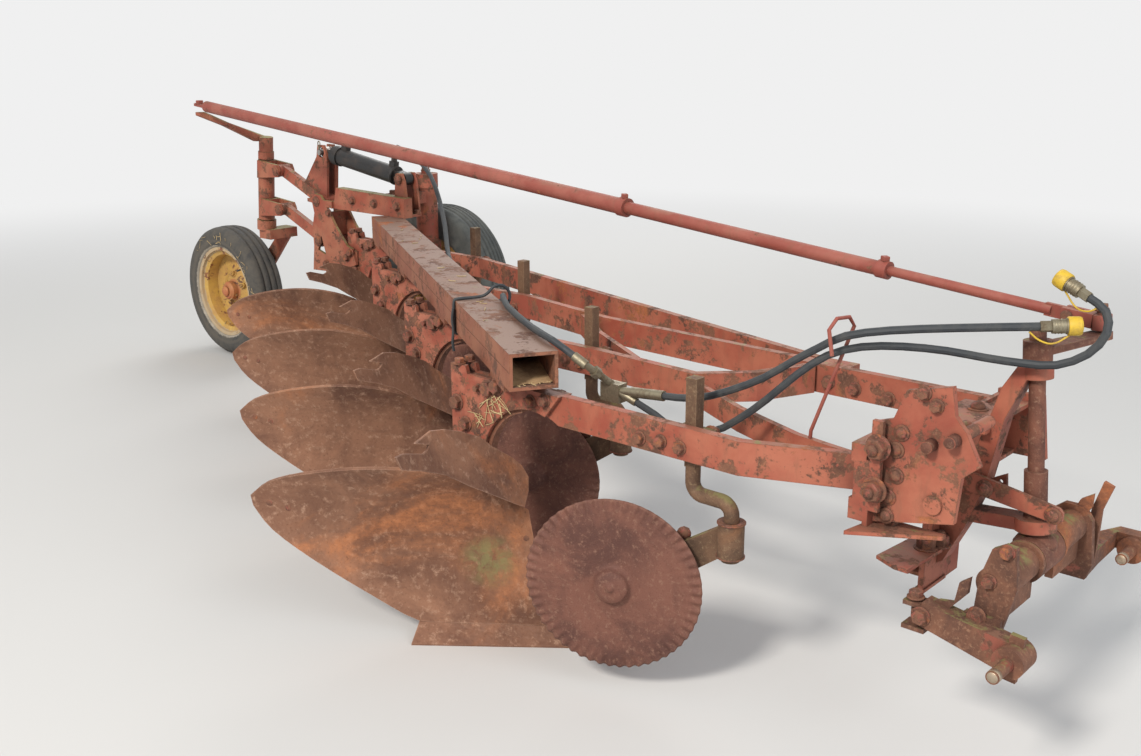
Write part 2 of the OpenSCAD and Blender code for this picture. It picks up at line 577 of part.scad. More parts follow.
module steering_rod() color("firebrick") difference() {
    at_rod() {
        for (k = [0 : 2]) translate([rod_steps[k][0], 0, 0]) rotate([0, 90, 0])
            cylinder(d = rod_steps[k][1], h = (k < 2 ? rod_steps[k + 1][0] : rod_len - 70) - rod_steps[k][0]
                + 1);
        for (k = [1, 2]) translate([rod_steps[k][0] - 16, 0, 0]) rotate([0, 90, 0])
            cylinder(d = rod_steps[k][1] + 8, h = 32);
        translate([fork_pin_x, 0, 0]) along_y(15, 12);
        translate([fork_pin_x, -6, -15]) cube([60, 12, 30]);
        translate([rod_len - 90, -18, -6]) cube([112, 36, 12]);
    }
    at_rod() translate([fork_pin_x, 0, 0]) along_y(fork_pin_d / 2 + pin_fit, 30);
    translate(rod_rear) cylinder(d = 22, h = 60, center = true);
}

// Tail frame: rail on the box beam, hanging plates, pins of the parallelogram
up_z = 843;
ear = 147;
up_x = post_x + ear + tail_link * cos(tail_link_angle);
rear_up = [post_x + ear, up_z + tail_link * sin(tail_link_angle)];
link_pin_d = 30;
arm_hub = 60;
arm_t = 26;
bracket_in = arm_hub / 2 + 2;
lever = [-2, 217];
cyl_y = tail_y + 30;
cyl_front = [last[0] + 22, 978];
plate_near = tail_y - bracket_in - 12;
plate_far = cyl_y + 34;
hub_far = cyl_y + 32;
module tail_frame() color("goldenrod") {
    // rail that runs back over the box beam's rear end, and its flange on to the arm's pivot
    side_plate(tail_y - 34, tail_y + 10) polygon([[up_x + 100, box_top + seat_gap],
        [last[0] + 81, box_top + seat_gap], [last[0] + 81, box_top + 84], [up_x + 135, box_top + 94],
        [up_x + 118, up_z + 10], [up_x + 100, up_z + 10]]);
    side_plate(plate_near, plate_near + 12) polygon([[up_x - 66, up_z - 5], [up_x + 112, box_top + seat_gap],
        [up_x + 112, up_z + 10], [up_x - 66, up_z + 10]]);
    for (y = [plate_near, plate_far]) side_plate(y, y + 12) difference() {
        polygon([[up_x - 38, up_z + 12], [up_x - 12, up_z + 34], [up_x + 30, up_z + 30],
            [up_x + 70, up_z - 14], [up_x + 132, up_z - 102], [last[0] - 311, 663],
            [last[0] - 276, 653], [last[0] - 250, 584],
            [last[0] - 391, 533], [up_x - 52, 525], [up_x - 36, 640], [up_x - 40, 720], [up_x - 20, 790]]);
        polygon([[up_x - 7, 622], [up_x + 50, 606], [up_x + 22, 690]]);
    }
    // web between the plates, and the pad that bolts them to the last cheeks
    translate([up_x + 62, plate_near + 1, 690]) cube([12, plate_far - plate_near + 10, 110]);
    translate([last[0] - 312, plate_near + 11, 592]) cube([58, 8 - seat_gap, 52]);
    for (z = [up_z, up_z - tail_link_gap]) translate([up_x, (plate_near + plate_far + 12) / 2, z])
        along_y(link_pin_d / 2, plate_far + 12 - plate_near + 8);
    // bracket of the cylinder's front pin
    for (s = [-1, 1]) side_plate(cyl_y + s * 32 - 5, cyl_y + s * 32 + 5)
        polygon([[cyl_front[0] - 40, box_top + 6], [cyl_front[0] - 24, cyl_front[1] + 18],
            [cyl_front[0] - 12, cyl_front[1] + 26], [cyl_front[0] + 20, cyl_front[1] + 26],
            [cyl_front[0] + 34, cyl_front[1] - 10], [cyl_front[0] + 50, box_top + 6]]);
    translate([cyl_front[0] - 60, cyl_y - 60, box_top + seat_gap]) cube([112, 97, 12]);
    translate([cyl_front[0], cyl_y, cyl_front[1]]) along_y(12.5, 96);
}

// An arm of the parallelogram between its two pivots
module link_bar(z) {
    translate([up_x, (tail_y - arm_hub / 2 + hub_far) / 2, z]) along_y(28, hub_far - tail_y + arm_hub / 2);
    translate([rear_up[0], tail_y, z + rear_up[1] - up_z]) along_y(28, arm_hub);
    side_plate(tail_y - arm_t / 2, tail_y + arm_t / 2) polygon([[up_x - 6, z + 27],
        [rear_up[0] + 8, z + rear_up[1] - up_z + 27], [rear_up[0] + 8, z + rear_up[1] - up_z - 27],
            [up_x - 6, z - 27]]);
}
module link_bores(z) for (p = [[up_x, z], [rear_up[0], z + rear_up[1] - up_z]])
    translate([p[0], tail_y, p[1]]) along_y(link_pin_d / 2 + pin_fit, 200);
lever_hole_d = 46;
module tail_arm_upper() color("indianred") difference() {
    union() {
        link_bar(up_z);
        for (y = [cyl_y - 32, cyl_y + 20]) side_plate(y, y + 12) polygon([[up_x - 149, up_z + 57],
            [up_x - 20, up_z - 16],
            [up_x + 22, up_z - 8], [up_x + lever[0] + 44, up_z + lever[1] - 24],
                [up_x + lever[0] + 22, up_z + lever[1] + 32],
            [up_x + lever[0] - 22, up_z + lever[1] + 32], [up_x + lever[0] - 34, up_z + lever[1] - 22]]);
    }
    link_bores(up_z);
    translate([up_x + lever[0], cyl_y, up_z + lever[1]]) along_y(lever_hole_d / 2, 90);
}
module tail_arm_lower() color("indianred") difference() {
    link_bar(up_z - tail_link_gap);
    link_bores(up_z - tail_link_gap);
}

// Carrier: tube round the kingpin, with ears for the arms
carrier_low = 716;
carrier_high = 1002;
module at_kingpin() translate([post_x, tail_y, 860]) rotate([0, tail_caster, 0]) translate([0, 0, -860])
    children();
kingpin_d = 50;
module tail_carrier() color("indianred") difference() {
    union() {
        at_kingpin() translate([0, 0, carrier_low]) cylinder(d = tail_tube_d, h = carrier_high - carrier_low);
        for (s = [-1, 1], z = [0, -tail_link_gap]) side_plate(tail_y + s * (bracket_in + 6) - 6,
            tail_y + s * (bracket_in + 6) + 6)
            polygon([[post_x + 4, rear_up[1] + z + 42], [rear_up[0] + 14, rear_up[1] + z + 28],
                [rear_up[0] + 28, rear_up[1] + z], [rear_up[0] + 14, rear_up[1] + z - 28],
                [post_x - 6, rear_up[1] + z - 42]]);
        for (z = [rear_up[1], rear_up[1] - tail_link_gap])
            translate([rear_up[0], tail_y, z]) along_y(link_pin_d / 2, 2 * bracket_in + 30);
        for (z = [rear_up[1], rear_up[1] - tail_link_gap])
            translate([post_x + 30, tail_y - bracket_in - 2, z - 38]) cube([20, 2 * bracket_in + 4, 76]);
    }
    at_kingpin() translate([0, 0, carrier_low - 1])
        cylinder(d = kingpin_d + 2 * pin_fit, h = carrier_high - carrier_low + 2);
}

// Spindle: kingpin, steering arm at the top, crank down to the wheel's axle
wheel_r = tail_tyre_d / 2;
axle_x = post_x - tail_trail;
axle_d = 38;
stub_y = tail_y + tail_tyre_w / 2 + 26;
module tail_spindle() color("firebrick") {
    at_kingpin() {
        translate([0, 0, carrier_low - 50]) cylinder(d = kingpin_d, h = carrier_high - carrier_low + 130);
        translate([0, 0, carrier_low - 50]) cylinder(d = tail_tube_d + 14, h = 47);
        translate([0, 0, carrier_high + 4]) cylinder(d = tail_tube_d - 2, h = 34);
        translate([0, 0, carrier_high + 36]) cylinder(d = 66, h = 70);
    }
    // steering arm, rising to end clear under the rod's eye
    hull() {
        translate([post_x - 22, tail_y, carrier_high + 84]) rotate([0, 0, 0]) cylinder(d = 70, h = 18);
        translate([rod_rear[0] + 40, rod_rear[1] + 100, rod_rear[2] - 90]) cube([30, 20, 14], center = true);
    }
    hull() {
        translate([rod_rear[0] + 40, rod_rear[1] + 100, rod_rear[2] - 90]) cube([30, 20, 14], center = true);
        translate([rod_rear[0], rod_rear[1], rod_rear[2] - 46]) cylinder(d = 44, h = 14);
    }
    // crank beside the wheel
    translate([post_x - 40, tail_y - 30, carrier_low - 92]) cube([90, stub_y + 16 - tail_y + 30, 46]);
    side_plate(stub_y, stub_y + 16) polygon([[post_x + 50, carrier_low - 46], [post_x - 40, carrier_low - 46],
        [axle_x - 20, wheel_r + 46], [axle_x - 40, wheel_r], [axle_x - 16, wheel_r - 36],
            [axle_x + 36, wheel_r - 20]]);
    translate([axle_x, tail_y - 40, wheel_r]) rotate([-90, 0, 0]) cylinder(d = axle_d,
        h = stub_y + 8 - tail_y + 40);
}

// Wheel on the Y axis: tyre wall and rim as turned profiles, R outer radius, W width, B bead radius
module tyre(R, W, B) rotate([90, 0, 0]) rotate_extrude($fn = 64) polygon(concat(tyre_half(R, W, B, -1),
    [for (k = [12 : -1 : 0]) let (p = tyre_half(R, W, B, -1)[k]) [p[0], -p[1]]]));
// Half of the closed wall, from the middle of its inside round the bead to the middle of the tread
function tyre_half(R, W, B, s) = [[R - 15, s], [R - 16, s * W * 0.3], [R - 30, s * (W * 0.47 - 14)],
    [B + 0.45 * (R - B), s * (W * 0.5 - 13)], [B + 16, s * (W * 0.36 - 6)], [B, s * (W * 0.36 - 16)],
    [B, s * (W * 0.36 - 0.3)], [B + 10.5, s * (W * 0.36 + 3.6)], [B + 12, s * W * 0.43],
    [B + 0.45 * (R - B), s * W * 0.5], [R - 26, s * W * 0.47], [R - 8, s * W * 0.36], [R, s * W * 0.2]];
module turned() rotate([90, 0, 0]) rotate_extrude($fn = 64) children();
module rim(W, B, bore_r, hub_r, dish) {
    w = W * 0.36;
    turned() polygon([[B - 0.4, -w], [B + 10, -w - 4], [B + 10, -w - 8], [B - 6, -w - 6], [B - 8, -w + 8],
        [B - 30, -w + 18], [B - 30, w - 18], [B - 8, w - 8], [B - 6, w + 6], [B + 10, w + 8], [B + 10, w + 4],
        [B - 0.4, w], [B - 0.4, w - 14], [B - 24, w - 26], [B - 24, -w + 26], [B - 0.4, -w + 14]]);
    turned() polygon([[B - 27, dish[0] - 3], [B - 27, dish[0] + 3], [B * 0.62, dish[1] + 3],
        [hub_r - 4, dish[2] + 4],
        [hub_r - 4, dish[2] - 4], [B * 0.62, dish[1] - 3]]);
    turned() polygon([[bore_r, -44], [hub_r, -44], [hub_r, 40], [hub_r - 10, 52], [0, 56], [0, 46],
        [bore_r, 46]]);
}
tail_bead = 215;
module tail_tyre() color("dimgray") translate([axle_x, tail_y, wheel_r]) tyre(wheel_r, tail_tyre_w,
    tail_bead);
module tail_rim() color("gold") translate([axle_x, tail_y, wheel_r])
    rim(tail_tyre_w, tail_bead, axle_d / 2 + pin_fit, 46, [-20, -34, 10]);

// Cylinder. The rod's eye stands in an oversize hole of the lever
cyl_rear = [up_x + lever[0], up_z + lever[1]];
cyl_run = cyl_rear - cyl_front;
cyl_len = norm(cyl_run);
cyl_tilt = atan2(cyl_run[1], -cyl_run[0]);
barrel_len = cyl_len - 62;
barrel_d = 76;
piston_z = 60;
module at_cylinder() translate([cyl_front[0], cyl_y, cyl_front[1]]) rotate([0, cyl_tilt - 90, 0]) children();
module cylinder_barrel() color("black") at_cylinder() difference() {
    union() {
        translate([0, 0, 54]) cylinder(d = barrel_d, h = barrel_len - 54);
        translate([0, 0, barrel_len - 50]) cylinder(d = barrel_d + 10, h = 38);
        along_y(27, 40);
        translate([-24, -20, 0]) cube([48, 40, 60]);
        for (z = [64, barrel_len - 92]) translate([20, -14, z]) cube([38, 28, 32]);
        translate([50, 0, 80]) rotate([0, 90, 0]) cylinder(d = 26, h = 34, $fn = 6);
        translate([50, 0, barrel_len - 76]) rotate([0, 90, 0]) cylinder(d = 20, h = 22, $fn = 6);
    }
    along_y(12.5 + pin_fit, 60);
    translate([0, 0, 56]) cylinder(d = 30 + 2 * pin_fit, h = barrel_len);
    translate([0, 0, 56]) cylinder(d = barrel_d - 14, h = barrel_len - 86);
}
module cylinder_rod() color("silver") at_cylinder() {
    translate([0, 0, piston_z + 8]) cylinder(d = 30, h = cyl_len - piston_z - 28);
    translate([0, 0, piston_z + 8]) cylinder(d = barrel_d - 14.4, h = 36);
    translate([0, 0, cyl_len]) {
        along_y(23, 34);
        along_y(12.5, 86);
        translate([-18, -15, -38]) cube([36, 30, 38]);
    }
}

// Land wheel: fixed leg with its depth screw, crank and wheel
leg_x = last[0] - 83;
land_leg_y = tail_y + 236;
land_y = tail_y + 382;
land_x = last[0] - 130;
module land_leg() color("indianred") {
    translate([leg_x - 36, tail_y + 10 + seat_gap, 852]) cube([72, land_leg_y - tail_y - 40, 52]);
    translate([leg_x, land_leg_y, 680]) difference() {
        cylinder(d = 96, h = 236);
        translate([0, 0, -1]) cylinder(d = 78, h = 228);
    }
    translate([leg_x, land_leg_y, 678]) cylinder(d = 100, h = 10);
    translate([leg_x, land_leg_y, 915]) cylinder(d = 106, h = 62, $fn = 13);
    translate([leg_x, land_leg_y, 970]) cylinder(d = 40, h = 20);
    side_plate(land_y - land_tyre_w / 2 - 40, land_y - land_tyre_w / 2 - 22) polygon([[leg_x + 44, 660],
        [leg_x - 40, 680],
        [land_x - 36, land_axle_z + 10], [land_x - 24, land_axle_z - 34], [land_x + 34, land_axle_z - 34]]);
    translate([leg_x - 40, land_leg_y - 20, 620]) cube([82, land_y - land_tyre_w / 2 - 22 - land_leg_y + 20,
        60]);
    translate([land_x, land_y + 40, land_axle_z]) rotate([90, 0, 0]) cylinder(d = 38,
        h = 40 + land_tyre_w / 2 + 34);
}
land_bead = 205;
module land_tyre() color("dimgray") translate([land_x, land_y, land_axle_z])
    rotate([0, 0, 180]) tyre(land_tyre_d / 2, land_tyre_w, land_bead);
module land_rim() color("gold") translate([land_x, land_y, land_axle_z])
    rotate([0, 0, 180]) rim(land_tyre_w, land_bead, 19 + pin_fit, 46, [-20, -34, 10]);

// Hydraulic hoses: points of their routes, smoothed to twice as many rings
hose_d = 18;
hose_sides = 10;
function at_hitch(p) = let (k = max(0, p[0] - 600) / 525)
    p + [k * (hitch_x - 1125), k * (hitch_y - 375), k * (hitch_z - 462)];
function on_box(p) = [box_cross[0] + box_dir[0] * p[0] + box_side[0] * p[1],
    box_cross[1] + box_dir[1] * p[0] + box_side[1] * p[1], p[2] + box_top - 820];
function at_barrel(p) = [cyl_front[0] + p[0] * cos(cyl_tilt - 90) + p[2] * sin(cyl_tilt - 90), cyl_y + p[1],
    cyl_front[1] - p[0] * sin(cyl_tilt - 90) + p[2] * cos(cyl_tilt - 90)];
block_at = [112, 82, 680];
block_size = [60, 32, 48];
crimp_1 = [300, 100, 722];
crimp_2 = [215, 99, 689];
crimp_3 = [92, 4, 806];
route_1 = [crimp_1, [390, 104, 733], [480, 110, 768], [570, 116, 815], [640, 122, 865], [700, 128, 905],
    [760, 135, 940], [850, 160, 962], [970, 222, 975], [1110, 305, 985]];
route_2 = [crimp_2, [270, 104, 668], [330, 106, 645], [430, 106, 655], [510, 110, 705], [580, 116, 765],
    [650, 126, 835], [710, 150, 885], [780, 172, 912], [860, 205, 920], [940, 250, 915], [1010, 285, 905],
    [1080, 312, 900], [1145, 324, 905], [1200, 338, 935], [1228, 352, 980], [1218, 364, 1022],
        [1180, 372, 1044]];
route_3 = [[2100, 110, 1075], [1950, 140, 1020], [1800, 145, 940], [1620, 130, 860], [1420, 100, 790],
    [1200, 84, 762], [950, 82, 757], [700, 82, 765], [510, 87, 804], [430, 67, 838], [300, 48, 835],
    [50, 50, 833], [-115, 62, 835]];
path_1 = [for (p = route_1) at_hitch(p)];
path_2 = [for (p = route_2) at_hitch(p)];
// More than the movement of the port under the end of the fixed hose
port_play = 1; // [0.6:0.1:2]
path_3 = concat([at_barrel([84 + port_play, 0, 80]), at_barrel([125, -5.8, 58])],
    [for (p = route_3) on_box(p)], [crimp_3]);

function smooth_path(p, n) = concat([for (k = [0 : len(p) - 2], j = [0 : n - 1])
    blend4(p[max(k - 1, 0)], p[k], p[k + 1], p[min(k + 2, len(p) - 1)], j / n)], [p[len(p) - 1]]);
function heading(p, k) = unit(p[min(k + 1, len(p) - 1)] - p[max(k - 1, 0)]);
function carried(u, t) = unit(u - t * (u * t));
function ring_frames(p, k, u) = k >= len(p) ? [] :
    let (v = carried(u, heading(p, k))) concat([v], ring_frames(p, k + 1, v));
module sweep_tube(p, r, n) {
    f = ring_frames(p, 0, [0.1, 0.2, 0.97]);
    m = len(p);
    polyhedron(points = [for (k = [0 : m - 1], j = [0 : n - 1])
        p[k] + r * (cos(360 * j / n) * f[k] + sin(360 * j / n) * cross(heading(p, k), f[k]))],
        faces = concat([[for (j = [0 : n - 1]) j]], [[for (j = [n - 1 : -1 : 0]) (m - 1) * n + j]],
            [for (k = [0 : m - 2], j = [0 : n - 1]) let (i = (j + 1) % n) each [
                [k * n + j, (k + 1) * n + i, k * n + i], [k * n + j, (k + 1) * n + j, (k + 1) * n + i]]]));
}
module hose_1() color("dimgray") sweep_tube(smooth_path(path_1, 2), hose_d / 2, hose_sides);
module hose_2() color("dimgray") sweep_tube(smooth_path(path_2, 2), hose_d / 2, hose_sides);
module hose_3() color("dimgray") sweep_tube(smooth_path(path_3, 2), hose_d / 2, hose_sides);

// A cylinder from a towards b, starting at distance low and ending at distance high
module run_between(a, b, low, high, d, n) translate(a) rotate([0, acos((b - a)[2] / norm(b - a)),
    atan2((b - a)[1], (b - a)[0])]) translate([0, 0, low]) cylinder(d = d, h = high - low, $fn = n);

// Crimped ends, junction block, and the two couplers with their dust caps
module coupler(a, b) {
    run_between(a, b, seat_gap, 24, hose_d + 6, 6);
    run_between(a, b, 23, 52, hose_d + 12, 24);
    run_between(a, b, 51, 78, hose_d + 16, 24);
}
function end_heading(path, back) = let (p = smooth_path(path, 2), k = back ? 0 : len(p) - 1)
    heading(p, k) * (back ? -1 : 1);
module hose_fittings() color("goldenrod") {
    translate(block_at) cube(block_size);
    // steel pipe from the rear hose down to the block
    elbow = crimp_3 + end_heading(path_3, false) * 34;
    pipe_to = block_at + [30, 16, 40];
    run_between(crimp_3, elbow, seat_gap, 40, hose_d + 6, 20);
    run_between(elbow, pipe_to, -8, norm(pipe_to - elbow), hose_d, 20);
    run_between(elbow, pipe_to, 36, 54, hose_d + 12, 6);
    in_1 = crimp_1 + end_heading(path_1, true) * 134;
    in_2 = crimp_2 + end_heading(path_2, true) * 56;
    run_between(crimp_1, in_1, seat_gap, 134, hose_d + 3, 20);
    run_between(crimp_1, in_1, seat_gap, 96, hose_d + 8, 20);
    run_between(crimp_2, in_2, seat_gap, 56, hose_d + 4, 20);
    for (path = [path_1, path_2]) coupler(path[len(path) - 1], path[len(path) - 1] + end_heading(path,
        false));
}

// Bent wire that holds the hoses, on the brace
holder_bends = [[672, 161, 682], [673, 161, 700], [752, 186, 952], [750, 166, 975], [742, 126, 977],
    [737, 104, 955], [750, 100, 900]];
wire_d = 9;
module hose_holder() color("firebrick") translate([0, 0, beam_low - 620 + seat_gap])
    sweep_tube(holder_bends, wire_d / 2, hose_sides);

module place() translate([-(front_x + rear_x) / 2, -(left_y + right_y) / 2, 0]) children();
front_x = hitch_x + link_x + 34;
rear_x = axle_x - wheel_r;
right_y = -484;
left_y = land_y + land_tyre_w / 2;

place() {
main_beam();
beam_1();
beam_2();
beam_3();
beam_4();
braces();
cheeks();
legs();
mouldboards();
shares();
landsides();
trash_boards();
coulter_posts();
headstock();
mast();
lock_strap();
tail_frame();
land_leg();
coulter_yoke_1();
coulter_yoke_2();
coulter_yoke_3();
coulter_yoke_4();
coulter_disc_1();
coulter_disc_2();
coulter_disc_3();
coulter_disc_4();
hitch_post();
cross_shaft();
rod_fork();
steering_rod();
tail_arm_upper();
tail_arm_lower();
tail_carrier();
tail_spindle();
tail_rim();
tail_tyre();
cylinder_barrel();
cylinder_rod();
land_rim();
land_tyre();
hose_1();
hose_2();
hose_3();
hose_fittings();
hose_holder();
}
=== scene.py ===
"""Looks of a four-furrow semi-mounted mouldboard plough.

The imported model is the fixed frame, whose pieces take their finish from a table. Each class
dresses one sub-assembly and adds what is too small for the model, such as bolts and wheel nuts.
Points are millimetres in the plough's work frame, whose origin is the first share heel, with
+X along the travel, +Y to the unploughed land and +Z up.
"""

from __future__ import annotations

import json
import logging
import math
import random
from dataclasses import dataclass
from enum import Enum
from typing import Iterable, Sequence

import bpy
from mathutils import Matrix, Vector
from mathutils.bvhtree import BVHTree

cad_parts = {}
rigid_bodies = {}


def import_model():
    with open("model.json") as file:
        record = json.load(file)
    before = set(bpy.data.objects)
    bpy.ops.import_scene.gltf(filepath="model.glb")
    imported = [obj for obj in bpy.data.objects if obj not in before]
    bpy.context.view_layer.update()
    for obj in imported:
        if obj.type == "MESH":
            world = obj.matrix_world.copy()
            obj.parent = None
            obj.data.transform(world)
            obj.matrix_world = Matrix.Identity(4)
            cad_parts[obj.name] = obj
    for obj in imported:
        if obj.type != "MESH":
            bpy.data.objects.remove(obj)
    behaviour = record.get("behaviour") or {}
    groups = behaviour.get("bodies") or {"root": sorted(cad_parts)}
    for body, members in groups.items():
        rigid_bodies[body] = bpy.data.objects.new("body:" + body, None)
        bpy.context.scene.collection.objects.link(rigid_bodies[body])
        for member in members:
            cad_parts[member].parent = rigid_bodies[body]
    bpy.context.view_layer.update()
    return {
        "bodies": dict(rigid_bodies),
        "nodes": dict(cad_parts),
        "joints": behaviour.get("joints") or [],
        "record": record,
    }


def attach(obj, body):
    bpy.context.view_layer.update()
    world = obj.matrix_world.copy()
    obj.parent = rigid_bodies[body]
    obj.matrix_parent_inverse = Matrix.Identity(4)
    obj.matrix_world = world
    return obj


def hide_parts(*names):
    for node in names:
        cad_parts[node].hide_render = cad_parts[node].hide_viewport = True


LOG = logging.getLogger("plough")
MM = 0.001
WORK_ORIGIN = Vector((-1192.0, 599.25, 0.0))
PITCH = Vector((-665.0, 406.0, 0.0))
BOTTOMS = 4

Point = Sequence[float]

# Directions of the work frame
FORWARD = (1, 0, 0)
LANDWARD = (0, 1, 0)
FURROWWARD = (0, -1, 0)
UP = (0, 0, 1)
DOWN = (0, 0, -1)


def at(x: float, y: float, z: float) -> Vector:
    """Model point in metres of a work-frame point in millimetres."""
    return (Vector((x, y, z)) - WORK_ORIGIN) * MM


def heel(index: int) -> Vector:
    """Share heel of a bottom, in millimetres of the work frame."""
    return PITCH * index


class Head(Enum):
    """Kinds of fastener head."""

    HEX = 6
    SQUARE = 4
    ROUND = 20


class Slot(Enum):
    """Material slots of the record."""

    PAINT = "red_paint"
    STEEL = "ploughed_steel"
    WEATHERED = "weathered_steel"
    RIM = "rim_paint"
    TYRE = "tyre"
    CYLINDER = "cylinder_paint"
    ROD = "rod_chrome"
    HOSE = "hose"
    FITTINGS = "fittings"


@dataclass(frozen=True)
class Tint:
    """A colour as it looks on a screen, each channel from 0 to 255."""

    red: int
    green: int
    blue: int

    @staticmethod
    def channel(value: int) -> float:
        """Linear share of a screen value, by the sRGB curve."""
        share = value / 255
        return share / 12.92 if share <= 0.04045 else ((share + 0.055) / 1.055) ** 2.4

    def linear(self) -> tuple[float, float, float, float]:
        """Channels as Blender's sockets take them."""
        return (self.channel(self.red), self.channel(self.green), self.channel(self.blue), 1.0)


class Bench:
    """Adds and links the nodes of one tree."""

    def __init__(self, tree: bpy.types.NodeTree) -> None:
        """Keeps the tree.

        Args:
            tree: A material's or a group's node tree.
        """
        self.tree = tree

    def add(self, kind: str, inputs: dict | None = None, **settings: object) -> bpy.types.Node:
        """Adds a node.

        Args:
            kind: Blender's type name.
            inputs: Values or output sockets by input name or number.
            settings: The node's own properties.

        Returns:
            The node.
        """
        node = self.tree.nodes.new(kind)
        for name, value in settings.items():
            setattr(node, name, value)
        for name, value in (inputs or {}).items():
            self.feed(node.inputs[name], value)
        return node

    def feed(self, socket: bpy.types.NodeSocket, value: object) -> None:
        """Links an output to a socket, or sets its value.

        Args:
            socket: The input that is fed.
            value: An output socket or a plain value.
        """
        if isinstance(value, bpy.types.NodeSocket):
            self.tree.links.new(value, socket)
        else:
            socket.default_value = value

    def maths(self, operation: str, *values: object, clamp: bool = False) -> bpy.types.NodeSocket:
        """Adds a Math node.

        Args:
            operation: Blender's name of the operation.
            values: One to three values or sockets.
            clamp: Whether the result is kept from 0 to 1.

        Returns:
            The result.
        """
        node = self.add("ShaderNodeMath", operation=operation, use_clamp=clamp)
        for socket, value in zip(node.inputs, values):
            self.feed(socket, value)
        return node.outputs[0]

    def times(self, one: object, two: object, clamp: bool = False) -> bpy.types.NodeSocket:
        """Product of two values."""
        return self.maths("MULTIPLY", one, two, clamp=clamp)

    def blend(self, share: object, under: object, over: object) -> bpy.types.NodeSocket:
        """Mixes two colours.

        Args:
            share: Share of the upper colour, from 0 to 1.
            under: The lower colour.
            over: The upper colour.

        Returns:
            The mixed colour.
        """
        node = self.add("ShaderNodeMix", data_type="RGBA", blend_type="MIX")
        for name, value in zip((0, 6, 7), (share, under, over)):
            self.feed(node.inputs[name], value)
        return node.outputs[2]

    def lay(self, under: object, mask: object, over: object, share: float) -> bpy.types.NodeSocket:
        """Lower colour with a share of the upper one on it, where the mask is."""
        return self.blend(self.times(mask, share), under, over)

    def noise(self, vector: object, scale: object, detail: float = 5.0, rough: float = 0.6,
              warp: float = 0.0) -> bpy.types.NodeSocket:
        """Adds a noise texture.

        Args:
            vector: Where it is read.
            scale: Its scale.
            detail: Number of octaves.
            rough: How much the finer ones count.
            warp: Its distortion.

        Returns:
            Its value.
        """
        node = self.add("ShaderNodeTexNoise", {"Vector": vector, "Scale": scale, "Detail": detail,
                                               "Roughness": rough, "Distortion": warp})
        return node.outputs[0]

    def span(self, value: object, low: object, high: object, start: object = 0.0,
             end: object = 1.0) -> bpy.types.NodeSocket:
        """Maps a value smoothly.

        Args:
            value: The value.
            low: Where the result starts to change.
            high: Where it stops.
            start: Result at low and under it.
            end: Result at high and over it.

        Returns:
            The result.
        """
        node = self.add("ShaderNodeMapRange", interpolation_type="SMOOTHSTEP")
        for socket, item in zip(node.inputs, (value, low, high, start, end)):
            self.feed(socket, item)
        return node.outputs[0]

    def stretched(self, vector: object, scale: Point) -> bpy.types.NodeSocket:
        """Vector scaled along its axes."""
        return self.add("ShaderNodeMapping", {"Vector": vector, "Scale": tuple(scale)}).outputs[0]


class Group:
    """A node group with named sockets, built by a subclass's wire method."""

    title = ""
    takes: dict[str, object] = {}
    gives: dict[str, str] = {}

    def __init__(self) -> None:
        """Builds the group's tree once."""
        self.tree = bpy.data.node_groups.new(self.title, "ShaderNodeTree")
        kinds = {float: "NodeSocketFloat", tuple: "NodeSocketColor", type(None): "NodeSocketVector"}
        for name, value in self.takes.items():
            socket = self.tree.interface.new_socket(name, in_out="INPUT", socket_type=kinds[type(value)])
            if value is not None:
                socket.default_value = value
        for name, kind in self.gives.items():
            self.tree.interface.new_socket(name, in_out="OUTPUT", socket_type=kind)
        bench = Bench(self.tree)
        source = bench.add("NodeGroupInput")
        sink = bench.add("NodeGroupOutput")
        for name, socket in self.wire(bench, source.outputs).items():
            bench.feed(sink.inputs[name], socket)

    def wire(self, bench: Bench, given: bpy.types.bpy_prop_collection) -> dict:
        """Links the inputs to the outputs.

        Args:
            bench: Helper on the group's tree.
            given: The group's input sockets.

        Returns:
            Output sockets by name.
        """
        raise NotImplementedError

    def use(self, bench: Bench, **inputs: object) -> bpy.types.bpy_prop_collection:
        """Places the group in a material.

        Args:
            bench: Helper on the material's tree.
            inputs: Values or sockets by input name.

        Returns:
            The outputs of the placed group.
        """
        node = bench.add("ShaderNodeGroup", node_tree=self.tree)
        for name, value in inputs.items():
            bench.feed(node.inputs[name], value)
        return node.outputs


class Patches(Group):
    """Ragged patches that cover a share of the surface."""

    title = "Patches"
    takes = {"Vector": None, "Scale": 6.0, "Cover": 0.4, "Softness": 0.05}
    gives = {"Mask": "NodeSocketFloat"}

    def wire(self, bench: Bench, given: bpy.types.bpy_prop_collection) -> dict:
        """Two sizes of noise, cut at the cover's height.

        Args:
            bench: Helper on the group's tree.
            given: The group's input sockets.

        Returns:
            Output sockets by name.
        """
        large = bench.noise(given["Vector"], given["Scale"], 6.0, 0.65, 0.3)
        small = bench.noise(given["Vector"], bench.times(given["Scale"], 5.3), 4.0, 0.7)
        height = bench.maths("ADD", bench.times(large, 0.7), bench.times(small, 0.3))
        level = bench.maths("MULTIPLY_ADD", given["Cover"], -0.42, 0.71)
        low = bench.maths("SUBTRACT", level, given["Softness"])
        high = bench.maths("ADD", level, given["Softness"])
        return {"Mask": bench.span(height, low, high)}


